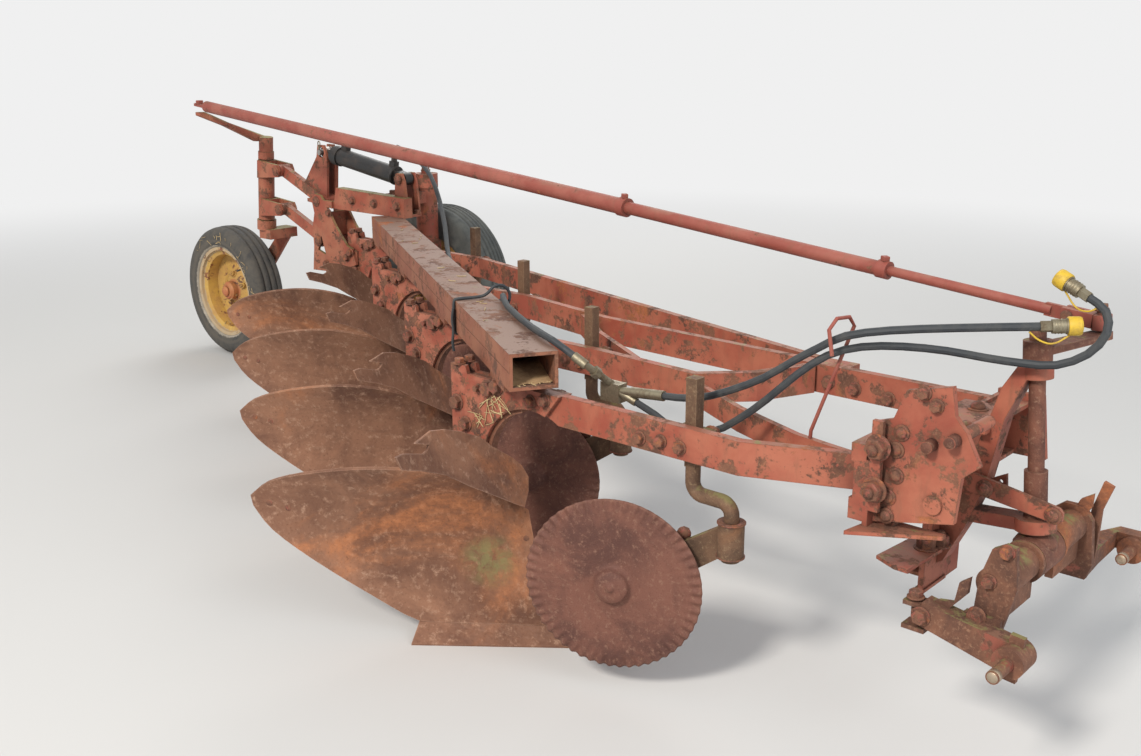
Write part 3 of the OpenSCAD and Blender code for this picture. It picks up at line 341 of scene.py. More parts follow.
class Edges(Group):
    """Worn edges, from the angle between the true and a rounded normal."""

    title = "Worn edges"
    takes = {"Vector": None, "Radius": 0.004, "Scale": 30.0, "Gain": 2.0}
    gives = {"Mask": "NodeSocketFloat"}

    def wire(self, bench: Bench, given: bpy.types.bpy_prop_collection) -> dict:
        """Bevelled normal against the real one, broken up by noise.

        Args:
            bench: Helper on the group's tree.
            given: The group's input sockets.

        Returns:
            Output sockets by name.
        """
        round_normal = bench.add("ShaderNodeBevel", {"Radius": given["Radius"]}, samples=4).outputs[0]
        plain = bench.add("ShaderNodeNewGeometry").outputs["Normal"]
        dot = bench.add("ShaderNodeVectorMath", operation="DOT_PRODUCT")
        bench.feed(dot.inputs[0], round_normal)
        bench.feed(dot.inputs[1], plain)
        bent = bench.maths("SUBTRACT", 1.0, dot.outputs["Value"])
        ragged = bench.span(bench.noise(given["Vector"], given["Scale"], 4.0, 0.7), 0.35, 0.62, 0.15, 1.6)
        return {"Mask": bench.times(bench.times(bent, given["Gain"]), ragged, clamp=True)}


class Settled(Group):
    """What settles on faces that look up, such as dust, moss and sun bleach."""

    title = "Settled"
    takes = {"Vector": None, "Scale": 9.0, "Cover": 0.5, "Softness": 0.08}
    gives = {"Mask": "NodeSocketFloat"}

    def wire(self, bench: Bench, given: bpy.types.bpy_prop_collection) -> dict:
        """Upward share of the piece's own normal times ragged noise.

        Args:
            bench: Helper on the group's tree.
            given: The group's input sockets.

        Returns:
            Output sockets by name.
        """
        normal = bench.add("ShaderNodeTexCoord").outputs["Normal"]
        upward = bench.add("ShaderNodeSeparateXYZ", {0: normal}).outputs["Z"]
        facing = bench.span(upward, 0.35, 0.9)
        level = bench.maths("MULTIPLY_ADD", given["Cover"], -0.5, 0.74)
        ragged = bench.span(bench.noise(given["Vector"], given["Scale"], 7.0, 0.7, 0.4),
                            bench.maths("SUBTRACT", level, given["Softness"]),
                            bench.maths("ADD", level, given["Softness"]))
        return {"Mask": bench.times(facing, ragged)}


class PaintedShade(Group):
    """Painted shade: darkening in corners and under overhangs, from occlusion."""

    title = "PaintedShade"
    takes = {"Distance": 0.05, "Gain": 1.6}
    gives = {"Mask": "NodeSocketFloat"}

    def wire(self, bench: Bench, given: bpy.types.bpy_prop_collection) -> dict:
        """Occlusion turned into a mask.

        Args:
            bench: Helper on the group's tree.
            given: The group's input sockets.

        Returns:
            Output sockets by name.
        """
        open_share = bench.add("ShaderNodeAmbientOcclusion", {"Distance": given["Distance"]}, samples=4)
        shut = bench.maths("SUBTRACT", 1.0, open_share.outputs["AO"])
        return {"Mask": bench.times(shut, given["Gain"], clamp=True)}


class RustCoat(Group):
    """Colour and height of a rusted surface, with runs along one axis."""

    title = "Rust coat"
    takes = {"Vector": None, "Scale": 7.0, "Dark": (0.05, 0.02, 0.01, 1.0), "Middle": (0.2, 0.09, 0.05, 1.0),
             "Bright": (0.45, 0.2, 0.08, 1.0), "Pale": (0.5, 0.35, 0.25, 1.0), "Bloom": 0.4}
    gives = {"Color": "NodeSocketColor", "Height": "NodeSocketFloat"}

    def wire(self, bench: Bench, given: bpy.types.bpy_prop_collection) -> dict:
        """Broad tones, a fine speckle, and blooms of bright rust.

        Args:
            bench: Helper on the group's tree.
            given: The group's input sockets.

        Returns:
            Output sockets by name.
        """
        broad = bench.noise(given["Vector"], given["Scale"], 8.0, 0.68, 0.6)
        fine = bench.noise(given["Vector"], bench.times(given["Scale"], 14.0), 6.0, 0.75)
        speck = bench.noise(given["Vector"], bench.times(given["Scale"], 46.0), 2.0, 0.6)
        tone = bench.blend(bench.span(broad, 0.33, 0.64), given["Dark"], given["Middle"])
        tone = bench.lay(tone, bench.span(fine, 0.5, 0.72), given["Pale"], 0.75)
        level = bench.maths("MULTIPLY_ADD", given["Bloom"], -0.45, 0.76)
        bloom = bench.span(bench.noise(given["Vector"], bench.times(given["Scale"], 0.45), 7.0, 0.62, 0.8),
                           level, bench.maths("ADD", level, 0.16))
        mottled = bench.times(bloom, bench.span(fine, 0.3, 0.6, 0.35, 1.0))
        tone = bench.blend(mottled, tone, given["Bright"])
        tone = bench.lay(tone, bench.span(speck, 0.6, 0.74), given["Dark"], 0.55)
        height = bench.maths("ADD", bench.times(fine, 0.5), bench.times(speck, 0.5))
        return {"Color": tone, "Height": height}


# Dark rust tone, also the colour of the aged paint's painted shade in corners
DARK_RUST_AND_SHADE = Tint(80, 52, 41)
RUST_MIDDLE = Tint(124, 82, 61)
OLD_RUST = (DARK_RUST_AND_SHADE, RUST_MIDDLE, Tint(176, 104, 62), Tint(158, 118, 92))
MOSS = Tint(126, 122, 74)
# Colour of the painted shade in a wheel's corners
PAINTED_RIM_SHADE = Tint(58, 48, 40)


class Effects:
    """The shared node groups, each built once."""

    def __init__(self) -> None:
        """Builds every group."""
        self.patches = Patches()
        self.edges = Edges()
        self.settled = Settled()
        # Painted shade from occlusion, for corners and the undersides of overhangs
        self.painted_shade = PaintedShade()
        self.coat = RustCoat()

    def rust(self, bench: Bench, place: bpy.types.NodeSocket, scale: float, tones: Sequence[Tint] = OLD_RUST,
             bloom: float = 0.5) -> bpy.types.bpy_prop_collection:
        """Places the rust coat in a material.

        Args:
            bench: Helper on the material's tree.
            place: Object coordinates.
            scale: Scale of its largest spots.
            tones: Its dark, middle, bright and pale tone.
            bloom: Cover of the bright blooms.

        Returns:
            The coat's outputs.
        """
        dark, middle, bright, pale = (tone.linear() for tone in tones)
        return self.coat.use(bench, Vector=place, Scale=scale, Dark=dark, Middle=middle, Bright=bright,
                             Pale=pale, Bloom=bloom)


class Shader:
    """A material with its Principled shader and object coordinates."""

    def __init__(self, name: str) -> None:
        """Makes the material.

        Args:
            name: The material's name.
        """
        self.material = bpy.data.materials.new(name)
        self.material.use_nodes = True
        self.bench = Bench(self.material.node_tree)
        self.surface = next(n for n in self.material.node_tree.nodes if n.type == "BSDF_PRINCIPLED")
        self.place = self.bench.add("ShaderNodeTexCoord").outputs["Object"]

    def put(self, **values: object) -> None:
        """Sets or links inputs of the Principled shader, underscores standing for spaces."""
        for name, value in values.items():
            self.bench.feed(self.surface.inputs[name.replace("_", " ")], value)

    def relief(self, height: object, depth: float, strength: float = 0.6) -> None:
        """Feeds a height to the shader's normal.

        Args:
            height: Output socket from 0 to 1.
            depth: Depth of the relief in metres.
            strength: Strength of the bump.
        """
        bump = self.bench.add("ShaderNodeBump", {"Height": height, "Distance": depth, "Strength": strength})
        self.put(Normal=bump.outputs[0])


@dataclass(frozen=True)
class AgedPaint:
    """Chalked paint with rust through it, worn edges, painted shade in the corners and growth on top."""

    name: str
    fresh: Tint
    chalk: Tint
    top: Tint
    top_cover: float = 0.45
    rust_cover: float = 0.3
    moss_cover: float = 0.15
    edge_gain: float = 2.4
    scale: float = 5.0

    def material(self, effects: Effects) -> bpy.types.Material:
        """Builds the paint.

        Args:
            effects: The shared node groups.

        Returns:
            The material.
        """
        shader = Shader(self.name)
        bench, place = shader.bench, shader.place
        rust = effects.rust(bench, place, self.scale * 2.2)
        faded = bench.span(bench.noise(place, self.scale * 1.3, 8.0, 0.62, 0.4), 0.34, 0.66)
        colour = bench.blend(faded, self.fresh.linear(), self.chalk.linear())
        stain = bench.span(bench.noise(bench.stretched(place, (1.0, 1.0, 0.22)), self.scale * 7, 5.0, 0.7), 0.5, 0.74)
        colour = bench.lay(colour, stain, RUST_MIDDLE.linear(), 0.5)
        top = effects.settled.use(bench, Vector=place, Scale=self.scale * 1.6, Cover=self.top_cover, Softness=0.1)
        colour = bench.lay(colour, top["Mask"], self.top.linear(), 0.85)
        flaked = effects.patches.use(bench, Vector=place, Scale=self.scale * 3.1, Cover=self.rust_cover, Softness=0.03)
        worn = effects.edges.use(bench, Vector=place, Radius=0.005, Scale=42.0, Gain=self.edge_gain)
        bare = bench.maths("MAXIMUM", flaked["Mask"], worn["Mask"])
        colour = bench.blend(bare, colour, rust["Color"])
        moss = effects.settled.use(bench, Vector=place, Scale=self.scale * 4.2, Cover=self.moss_cover, Softness=0.05)
        colour = bench.lay(colour, moss["Mask"], MOSS.linear(), 0.8)
        # Painted shade: the dark rust tone laid by occlusion in corners and under overhangs
        shade_mask = effects.painted_shade.use(bench, Distance=0.06, Gain=1.3)
        colour = bench.lay(colour, shade_mask["Mask"], DARK_RUST_AND_SHADE.linear(), 0.6)
        fine = bench.noise(place, 420.0, 3.0, 0.6)
        shader.put(Base_Color=colour, Roughness=bench.maths("MULTIPLY_ADD", bare, 0.2, 0.62))
        height = bench.maths("SUBTRACT", bench.times(fine, 0.4), bench.times(bare, 0.6))
        shader.relief(height, 0.0012)
        return shader.material


@dataclass(frozen=True)
class Zone:
    """A ragged round patch of another colour, its centre and reach in millimetres of the work frame."""

    centre: tuple[float, float, float]
    reach: float
    tint: Tint
    share: float = 0.8

    def lay(self, bench: Bench, place: bpy.types.NodeSocket, colour: object) -> bpy.types.NodeSocket:
        """Lays the patch on a colour.

        Args:
            bench: Helper on the material's tree.
            place: Object coordinates.
            colour: The colour under it.

        Returns:
            The new colour.
        """
        away = bench.add("ShaderNodeVectorMath", {0: place, 1: tuple(at(*self.centre))}, operation="DISTANCE")
        inside = bench.span(away.outputs["Value"], self.reach * 0.3 * MM, self.reach * MM, 1.0, 0.0)
        ragged = bench.span(bench.noise(place, 26.0, 6.0, 0.7, 0.4), 0.36, 0.58)
        return bench.lay(colour, bench.times(inside, ragged), self.tint.linear(), self.share)


@dataclass(frozen=True)
class RustedSteel:
    """Bare steel that has rusted outdoors, with drag marks and some growth."""

    name: str
    dark: Tint
    middle: Tint
    bright: Tint
    pale: Tint
    bloom: float = 0.45
    moss_cover: float = 0.1
    scale: float = 4.0
    drag: tuple[float, float, float] = (0.25, 1.0, 1.0)
    drag_share: float = 0.35
    zone: Zone | None = None

    def material(self, effects: Effects) -> bpy.types.Material:
        """Builds the rusted steel.

        Args:
            effects: The shared node groups.

        Returns:
            The material.
        """
        shader = Shader(self.name)
        bench, place = shader.bench, shader.place
        rust = effects.rust(bench, place, self.scale, (self.dark, self.middle, self.bright, self.pale), self.bloom)
        marks = bench.noise(bench.stretched(place, self.drag), 34.0, 4.0, 0.65)
        colour = bench.lay(rust["Color"], bench.span(marks, 0.52, 0.7), self.dark.linear(), self.drag_share)
        worn = effects.edges.use(bench, Vector=place, Radius=0.006, Scale=26.0, Gain=1.6)
        colour = bench.lay(colour, worn["Mask"], self.pale.linear(), 0.6)
        moss = effects.settled.use(bench, Vector=place, Scale=self.scale * 4, Cover=self.moss_cover, Softness=0.06)
        colour = bench.lay(colour, moss["Mask"], MOSS.linear(), 0.75)
        # Painted shade: the dark rust tone laid by occlusion in corners and under overhangs
        shade_mask = effects.painted_shade.use(bench, Distance=0.08, Gain=1.2)
        colour = bench.lay(colour, shade_mask["Mask"], self.dark.linear(), 0.55)
        if self.zone:
            colour = self.zone.lay(bench, place, colour)
        shader.put(Base_Color=colour, Roughness=bench.span(rust["Height"], 0.3, 0.7, 0.62, 0.9), Metallic=0.15)
        shader.relief(rust["Height"], 0.0014)
        return shader.material


@dataclass(frozen=True)
class RingBand:
    """A ring on a wheel's side wall or disc, by its distance from the axle in millimetres."""

    inner: float
    outer: float
    tint: Tint
    share: float = 0.9


@dataclass(frozen=True)
class WheelFinish:
    """Paint or rubber whose tone changes with the distance from the wheel's axle."""

    name: str
    base: Tint
    soiled: Tint
    centre: tuple[float, float, float]
    rings: tuple[RingBand, ...] = ()
    soil_cover: float = 0.5
    rust_cover: float = 0.0
    roughness: float = 0.8
    grain: float = 0.0008

    def material(self, effects: Effects) -> bpy.types.Material:
        """Builds the finish.

        Args:
            effects: The shared node groups.

        Returns:
            The material.
        """
        shader = Shader(self.name)
        bench, place = shader.bench, shader.place
        offset = bench.add("ShaderNodeVectorMath", operation="SUBTRACT")
        bench.feed(offset.inputs[0], place)
        offset.inputs[1].default_value = at(*self.centre)
        flat = bench.stretched(offset.outputs[0], (1.0, 0.0, 1.0))
        distance = bench.add("ShaderNodeVectorMath", {0: flat}, operation="LENGTH").outputs["Value"]
        ragged = bench.span(bench.noise(place, 55.0, 5.0, 0.7), 0.2, 0.8, -0.004, 0.004)
        distance = bench.maths("ADD", distance, ragged)
        tone = bench.noise(place, 14.0, 7.0, 0.68, 0.5)
        colour = bench.blend(bench.span(tone, 0.35, 0.68), self.base.linear(), self.soiled.linear())
        for ring in self.rings:
            inside = bench.span(distance, (ring.inner - 5) * MM, ring.inner * MM)
            outside = bench.span(distance, ring.outer * MM, (ring.outer + 5) * MM, 1.0, 0.0)
            share = bench.times(bench.times(inside, outside), ring.share)
            colour = bench.blend(share, colour, ring.tint.linear())
        soil = effects.patches.use(bench, Vector=place, Scale=9.0, Cover=self.soil_cover, Softness=0.12)
        colour = bench.lay(colour, soil["Mask"], self.soiled.linear(), 0.45)
        rust = effects.rust(bench, place, 16.0)
        flaked = effects.patches.use(bench, Vector=place, Scale=17.0, Cover=self.rust_cover, Softness=0.03)
        colour = bench.lay(colour, flaked["Mask"], rust["Color"], 1.0 if self.rust_cover else 0.0)
        # Painted shade: a dark tone laid by occlusion in corners and under overhangs
        shade_mask = effects.painted_shade.use(bench, Distance=0.05, Gain=1.1)
        colour = bench.lay(colour, shade_mask["Mask"], PAINTED_RIM_SHADE.linear(), 0.5)
        shader.put(Base_Color=colour, Roughness=bench.span(tone, 0.3, 0.7, self.roughness - 0.1, self.roughness + 0.1))
        shader.relief(bench.noise(place, 230.0, 5.0, 0.7), self.grain)
        return shader.material


@dataclass(frozen=True)
class PlainFinish:
    """A small part's own colour with a speck of soil and grain."""

    name: str
    base: Tint
    soiled: Tint
    metallic: float = 0.0
    roughness: float = 0.5
    scale: float = 30.0

    def material(self, effects: Effects) -> bpy.types.Material:
        """Builds the finish.

        Args:
            effects: The shared node groups.

        Returns:
            The material.
        """
        shader = Shader(self.name)
        bench, place = shader.bench, shader.place
        soil = effects.patches.use(bench, Vector=place, Scale=self.scale, Cover=0.4, Softness=0.12)
        colour = bench.blend(bench.times(soil["Mask"], 0.7), self.base.linear(), self.soiled.linear())
        worn = effects.edges.use(bench, Vector=place, Radius=0.002, Scale=90.0, Gain=1.2)
        colour = bench.lay(colour, worn["Mask"], self.soiled.linear(), 0.5)
        shader.put(Base_Color=colour, Roughness=bench.maths("MULTIPLY_ADD", soil["Mask"], 0.25, self.roughness),
                   Metallic=self.metallic)
        shader.relief(bench.noise(place, 600.0, 3.0, 0.6), 0.0004, 0.4)
        return shader.material


TAIL_AXLE = (-3293.0, 1218.0, 325.0)
LAND_AXLE = (-2125.0, 1600.0, 460.0)


BROWN_TOP = Tint(142, 98, 78)
PALE_RING = Tint(186, 176, 160)
YELLOW = (Tint(206, 168, 84), Tint(184, 142, 84))
MOSS_PATCH = Zone((-132.4, -81.1, 222.1), 95.0, Tint(128, 122, 78))

# Finish of each look, by the name that the pieces use
RECIPES = {
    "paint": AgedPaint("FadedRedPaint", Tint(146, 70, 52), Tint(168, 98, 74), BROWN_TOP, 0.55, 0.42, 0.24),
    "cheek": AgedPaint("CheekPaint", Tint(148, 72, 52), Tint(176, 108, 84), BROWN_TOP, 0.5, 0.44, 0.2, 2.0,
        8.0),
    "beam": AgedPaint("BeamPaint", Tint(128, 72, 50), Tint(148, 96, 70), Tint(126, 102, 88), 0.85, 0.4,
        0.14, 2.2, 4.0),
    "mossy": AgedPaint("MossyPaint", Tint(148, 72, 52), Tint(164, 102, 76), Tint(142, 122, 72), 0.85, 0.36,
        0.6, 2.0, 6.0),
    "rod": AgedPaint("RodPaint", Tint(138, 66, 54), Tint(154, 88, 74), Tint(148, 98, 82), 0.4, 0.24, 0.05,
        1.0, 6.0),
    "mould": RustedSteel("MouldboardRust", Tint(100, 66, 50), Tint(146, 104, 80), Tint(184, 116, 72),
        Tint(182, 146, 122), 0.42, 0.06, 3.2, (0.2, 0.3, 1.0), 0.3, MOSS_PATCH),
    "ground_steel": RustedSteel("WornSteel", Tint(74, 56, 46), Tint(112, 88, 72), Tint(148, 96, 66),
        Tint(150, 128, 108), 0.3, 0.05, 5.0),
    "disc": RustedSteel("DiscRust", Tint(84, 52, 44), Tint(118, 76, 62), Tint(142, 84, 62),
        Tint(146, 110, 92), 0.35, 0.03, 6.0, (1.0, 1.0, 1.0), 0.2),
    "leg": RustedSteel("LegRust", Tint(92, 58, 44), Tint(140, 92, 70), Tint(178, 106, 72),
        Tint(172, 134, 110), 0.4, 0.1, 5.0, (1.0, 1.0, 0.3), 0.2),
    "mossy_steel": RustedSteel("MossySteel", Tint(76, 56, 42), Tint(116, 86, 64), Tint(140, 94, 62),
        Tint(150, 126, 98), 0.35, 0.42, 8.0, (1.0, 1.0, 0.3), 0.2),
    "hitch_paint": AgedPaint("HitchPaint", Tint(130, 64, 48), Tint(150, 86, 68), Tint(122, 92, 74), 0.6,
        0.72, 0.4, 2.6, 3.4),
    "hitch": RustedSteel("HitchSteel", Tint(78, 46, 36), Tint(124, 78, 60), Tint(148, 82, 58),
        Tint(156, 120, 98), 0.45, 0.3, 7.0, (1.0, 1.0, 0.4), 0.25),
    "bolt": AgedPaint("PaintedBolt", Tint(132, 64, 50), Tint(152, 90, 74), Tint(126, 92, 76), 0.5, 0.6, 0.1,
        2.6, 24.0),
    "barrel": PlainFinish("BlackPaint", Tint(24, 24, 25), Tint(64, 54, 48), 0.0, 0.42, 16.0),
    "chrome": PlainFinish("DullChrome", Tint(172, 170, 166), Tint(110, 84, 66), 0.9, 0.3, 40.0),
    "hose": PlainFinish("HoseRubber", Tint(44, 48, 52), Tint(80, 80, 78), 0.0, 0.62, 12.0),
    "cap": PlainFinish("DustCap", Tint(206, 170, 48), Tint(150, 124, 62), 0.0, 0.5),
    "fitting": PlainFinish("ZincFitting", Tint(140, 132, 112), Tint(96, 78, 58), 0.8, 0.45),
    "straw": PlainFinish("DryStraw", Tint(200, 176, 132), Tint(158, 130, 90), 0.0, 0.8),
    "chaff": PlainFinish("Chaff", Tint(170, 138, 100), Tint(112, 84, 60), 0.0, 0.85, 24.0),
    "bright": PlainFinish("WornPinTip", Tint(176, 160, 140), Tint(120, 88, 62), 0.8, 0.42),
    "tail_tyre": WheelFinish("TailTyreRubber", Tint(50, 52, 54), Tint(92, 87, 80), TAIL_AXLE,
        (RingBand(214, 232, PALE_RING), RingBand(252, 262, Tint(104, 96, 86), 0.5)), 0.6, 0.0, 0.88, 0.0016),
    "land_tyre": WheelFinish("LandTyreRubber", Tint(66, 70, 70), Tint(96, 98, 94), LAND_AXLE, (), 0.4, 0.0,
        0.82, 0.0012),
    "tail_rim": WheelFinish("TailRimPaint", *YELLOW, TAIL_AXLE,
        (RingBand(0, 52, Tint(176, 92, 66)), RingBand(206, 240, Tint(182, 168, 146), 0.8)), 0.5, 0.34, 0.66,
        0.0008),
    "land_rim": WheelFinish("LandRimPaint", *YELLOW, LAND_AXLE, (RingBand(0, 60, Tint(190, 150, 70)),), 0.5,
        0.34, 0.66, 0.0008),
}

# Nodes that keep their own shape, by their look; the numbered ones of each bottom are added below
NODES = {
    "beam": "main_beam",
    "paint": "beam_1 beam_2 beam_3 beam_4 braces "
             "headstock mast lock_strap land_leg tail_arm_upper tail_arm_lower",
    "cheek": "cheeks",
    "leg": "legs",
    "mould": "mouldboards shares trash_boards",
    "ground_steel": "landsides",
    "mossy_steel": "coulter_posts",
    "mossy": "tail_frame tail_carrier tail_spindle",
    "hitch": "hitch_post",
    "hitch_paint": "cross_shaft",
    "rod": "rod_fork steering_rod hose_holder",
    "tail_rim": "tail_rim",
    "tail_tyre": "tail_tyre",
    "barrel": "cylinder_barrel",
    "chrome": "cylinder_rod",
    "land_rim": "land_rim",
    "land_tyre": "land_tyre",
    "hose": "hose_1 hose_2 hose_3",
    "fitting": "hose_fittings",
}


class Finishes:
    """All materials of the plough, each built once from its recipe."""

    def __init__(self, effects: Effects) -> None:
        """Builds the materials.

        Args:
            effects: The shared node groups.
        """
        self.made = {look: recipe.material(effects) for look, recipe in RECIPES.items()}

    def __getitem__(self, look: str) -> bpy.types.Material:
        """Material of a look."""
        return self.made[look]

    def of_nodes(self) -> dict[str, bpy.types.Material]:
        """Finds the material of each node that keeps its shape.

        Returns:
            Materials by node name.
        """
        table = {node: self[look] for look, nodes in NODES.items() for node in nodes.split()}
        for index in range(1, BOTTOMS + 1):
            table[f"coulter_yoke_{index}"] = self["mossy_steel"]
            table[f"coulter_disc_{index}"] = self["disc"]
        return table


class Draft:
    """Vertices and faces of one mesh, gathered from simple turned and drawn forms."""

    def __init__(self) -> None:
        """Starts an empty mesh."""
        self.points: list[Vector] = []
        self.faces: list[tuple[int, ...]] = []
        self.flat: list[bool] = []

    def turned(self, centre: Vector, axis: Vector, profile: Iterable[tuple[float, float]], sides: int = 24,
               turn: float = 0.0, flat: bool = False) -> None:
        """Adds a closed or open turned form.

        Args:
            centre: Point on the axis at height 0, in metres.
            axis: Direction of the axis.
            profile: Radius and height of each ring, in millimetres; a radius of 0 closes the form.
            sides: Number of sides.
            turn: Turn about the axis in radians.
            flat: Whether its faces stay flat.
        """
        frame = axis.normalized().to_track_quat("Z", "Y").to_matrix()
        rings: list[list[int]] = []
        for radius, height in profile:
            count = 1 if radius <= 0 else sides
            ring = []
            for step in range(count):
                angle = turn + 2 * math.pi * step / sides
                local = Vector((radius * math.cos(angle), radius * math.sin(angle), height)) * MM
                ring.append(len(self.points))
                self.points.append(centre + frame @ local)
            rings.append(ring)
        for low, high in zip(rings, rings[1:]):
            for step in range(sides):
                following = (step + 1) % sides
                corners = [low[step % len(low)], low[following % len(low)],
                           high[following % len(high)], high[step % len(high)]]
                unique = list(dict.fromkeys(corners))
                if len(unique) > 2:
                    self.faces.append(tuple(unique))
                    self.flat.append(flat)

    def fastener(self, centre: Vector, axis: Vector, across: float = 24.0, height: float = 13.0,
                 head: Head = Head.HEX, washer: bool = True, turn: float = 0.3) -> None:
        """Adds a bolt head or nut on a washer, whose seat is at the centre.

        Args:
            centre: Middle of the seat, in metres.
            axis: Direction away from the seat.
            across: Width across the flats in millimetres.
            height: Height of the head.
            head: Kind of head.
            washer: Whether a washer lies under it.
            turn: Turn of the head in radians.
        """
        base = -0.6
        if washer:
            edge = across * 0.72
            self.turned(centre, axis, [(0, base), (edge, base), (edge, 2.2), (edge - 0.8, 3.0), (0, 3.0)], 22)
            base = 2.6
        radius = across / 2 / math.cos(math.pi / head.value)
        if head is Head.ROUND:
            shape = [(0, base), (radius, base), (radius, base + height * 0.25), (radius * 0.86, base + height * 0.62),
                     (radius * 0.5, base + height * 0.92), (0, base + height)]
            self.turned(centre, axis, shape, head.value)
            return
        shape = [(0, base), (radius, base), (radius, base + height * 0.86), (radius * 0.9, base + height),
                 (0, base + height)]
        self.turned(centre, axis, shape, head.value, turn, True)

    def stud(self, centre: Vector, axis: Vector, diameter: float = 16.0, length: float = 18.0) -> None:
        """Adds a threaded end that stands out of a nut.

        Args:
            centre: Middle of its foot, in metres.
            axis: Direction out of the nut.
            diameter: Its diameter in millimetres.
            length: Its length in millimetres.
        """
        radius = diameter / 2
        profile = [(0, -1.0)]
        turns = max(3, int(length / 3))
        for step in range(turns):
            profile += [(radius, length * step / turns), (radius - 0.9, length * (step + 0.5) / turns)]
        profile += [(radius - 0.6, length), (0, length)]
        self.turned(centre, axis, profile, 14)

    def tube(self, path: Sequence[Vector], radius: float, sides: int = 12) -> None:
        """Adds a bent round bar.

        Args:
            path: Points of its middle line, in metres.
            radius: Its radius in millimetres.
            sides: Number of sides.
        """
        frames: list[Matrix] = []
        normal = Vector(UP)
        for index, point in enumerate(path):
            ahead = path[min(index + 1, len(path) - 1)]
            behind = path[max(index - 1, 0)]
            along = (ahead - behind).normalized()
            if abs(along.dot(normal)) > 0.95:
                normal = Vector(FORWARD)
            side = along.cross(normal).normalized()
            normal = side.cross(along).normalized()
            frames.append(Matrix((side, normal, along)).transposed())
        start = len(self.points)
        for point, frame in zip(path, frames):
            for step in range(sides):
                angle = 2 * math.pi * step / sides
                self.points.append(point + frame @ (Vector((math.cos(angle), math.sin(angle), 0)) * radius * MM))
        for ring in range(len(path) - 1):
            for step in range(sides):
                low = start + ring * sides
                self.faces.append((low + step, low + (step + 1) % sides, low + sides + (step + 1) % sides,
                                   low + sides + step))
                self.flat.append(False)
        self.faces.append(tuple(reversed(range(start, start + sides))))
        self.faces.append(tuple(range(start + (len(path) - 1) * sides, start + len(path) * sides)))
        self.flat += [True, True]

    def make(self, name: str, material: bpy.types.Material, body: str) -> bpy.types.Object:
        """Makes the object and lets it ride on a body.

        Args:
            name: The piece's name.
            material: Its material.
            body: The body that carries it.

        Returns:
            The object.
        """
        mesh = bpy.data.meshes.new(name)
        mesh.from_pydata([tuple(point) for point in self.points], [], self.faces)
        mesh.validate()
        mesh.update()
        if len(mesh.polygons) == len(self.flat):
            mesh.polygons.foreach_set("use_smooth", [not flat for flat in self.flat])
        mesh.materials.append(material)
        piece = bpy.data.objects.new(name, mesh)
        bpy.context.scene.collection.objects.link(piece)
        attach(piece, body)
        LOG.info("%s: %d faces on %s", name, len(self.faces), body)
        return piece


@dataclass(frozen=True)
class Fixing:
    """A bolt head or nut set where a line from its start, in the work frame, meets a node."""

    node: str
    start: tuple[float, float, float]
    way: tuple[float, float, float]
    across: float = 26.0
    height: float = 14.0
    head: Head = Head.HEX
    thread: float = 0.0
    washer: bool = True


class Workshop:
    """Seats small pieces on the frame's nodes."""

    def __init__(self, frame: dict, finishes: Finishes) -> None:
        """Keeps the nodes and the finishes.

        Args:
            finishes: The plough's materials.
        """
        self.nodes = frame["nodes"]
        self.finishes = finishes
        self.trees: dict[str, BVHTree] = {}
        self.dice = random.Random(7)

    def seat(self, node: str, start: Point, way: Point) -> tuple[Vector, Vector] | None:
        """Finds where a line meets a node.

        Args:
            node: The node's name.
            start: Start of the line in millimetres of the work frame.
            way: Its direction.

        Returns:
            The point in metres and the surface's outward direction, or None past the node.
        """
        if node not in self.trees:
            mesh = self.nodes[node].data
            self.trees[node] = BVHTree.FromPolygons([tuple(v.co) for v in mesh.vertices],
                                                    [tuple(p.vertices) for p in mesh.polygons])
        line = Vector(way).normalized()
        spot, normal, _, _ = self.trees[node].ray_cast(at(*start), line)
        if spot is None:
            LOG.warning("nothing of %s lies ahead of %s", node, tuple(start))
            return None
        return spot, -normal if normal.dot(line) > 0 else normal

    def fasten(self, draft: Draft, fixings: Iterable[Fixing], shift: Vector = Vector()) -> None:
        """Adds bolts and nuts to a draft.

        Args:
            draft: The mesh that they join.
            fixings: Where they sit.
            shift: Offset of all of them in millimetres.
        """
        for fixing in fixings:
            found = self.seat(fixing.node, Vector(fixing.start) + shift, fixing.way)
            if not found:
                continue
            spot, normal = found
            draft.fastener(spot, normal, fixing.across, fixing.height, fixing.head, fixing.washer,
                           self.dice.uniform(0.0, 1.0))
            if fixing.thread:
                draft.stud(spot + normal * fixing.height * MM, normal, fixing.across * 0.6, fixing.thread)

    def strand(self, draft: Draft, node: str, start: Point, way: Point, length: float) -> None:
        """Lays one bent stalk on a node's surface.

        Args:
            draft: The mesh that it joins.
            node: What it lies on.
            start: Start of the line that finds its place.
            way: Direction of that line.
            length: The stalk's length in millimetres.
        """
        found = self.seat(node, start, way)
        if not found:
            return
        spot, normal = found
        flat = normal.cross(Vector([self.dice.uniform(-1, 1) for _ in range(3)])).normalized()
        bow = normal.cross(flat) * self.dice.uniform(-0.2, 0.2)
        path = []
        for step in range(6):
            share = step / 5 - 0.5
            lift = 1.6 + 9.0 * share * share * self.dice.uniform(0.2, 1.0)
            path.append(spot + (flat * share + bow * (share * share)) * length * MM + normal * lift * MM)
        draft.tube(path, self.dice.uniform(0.8, 1.4), 5)


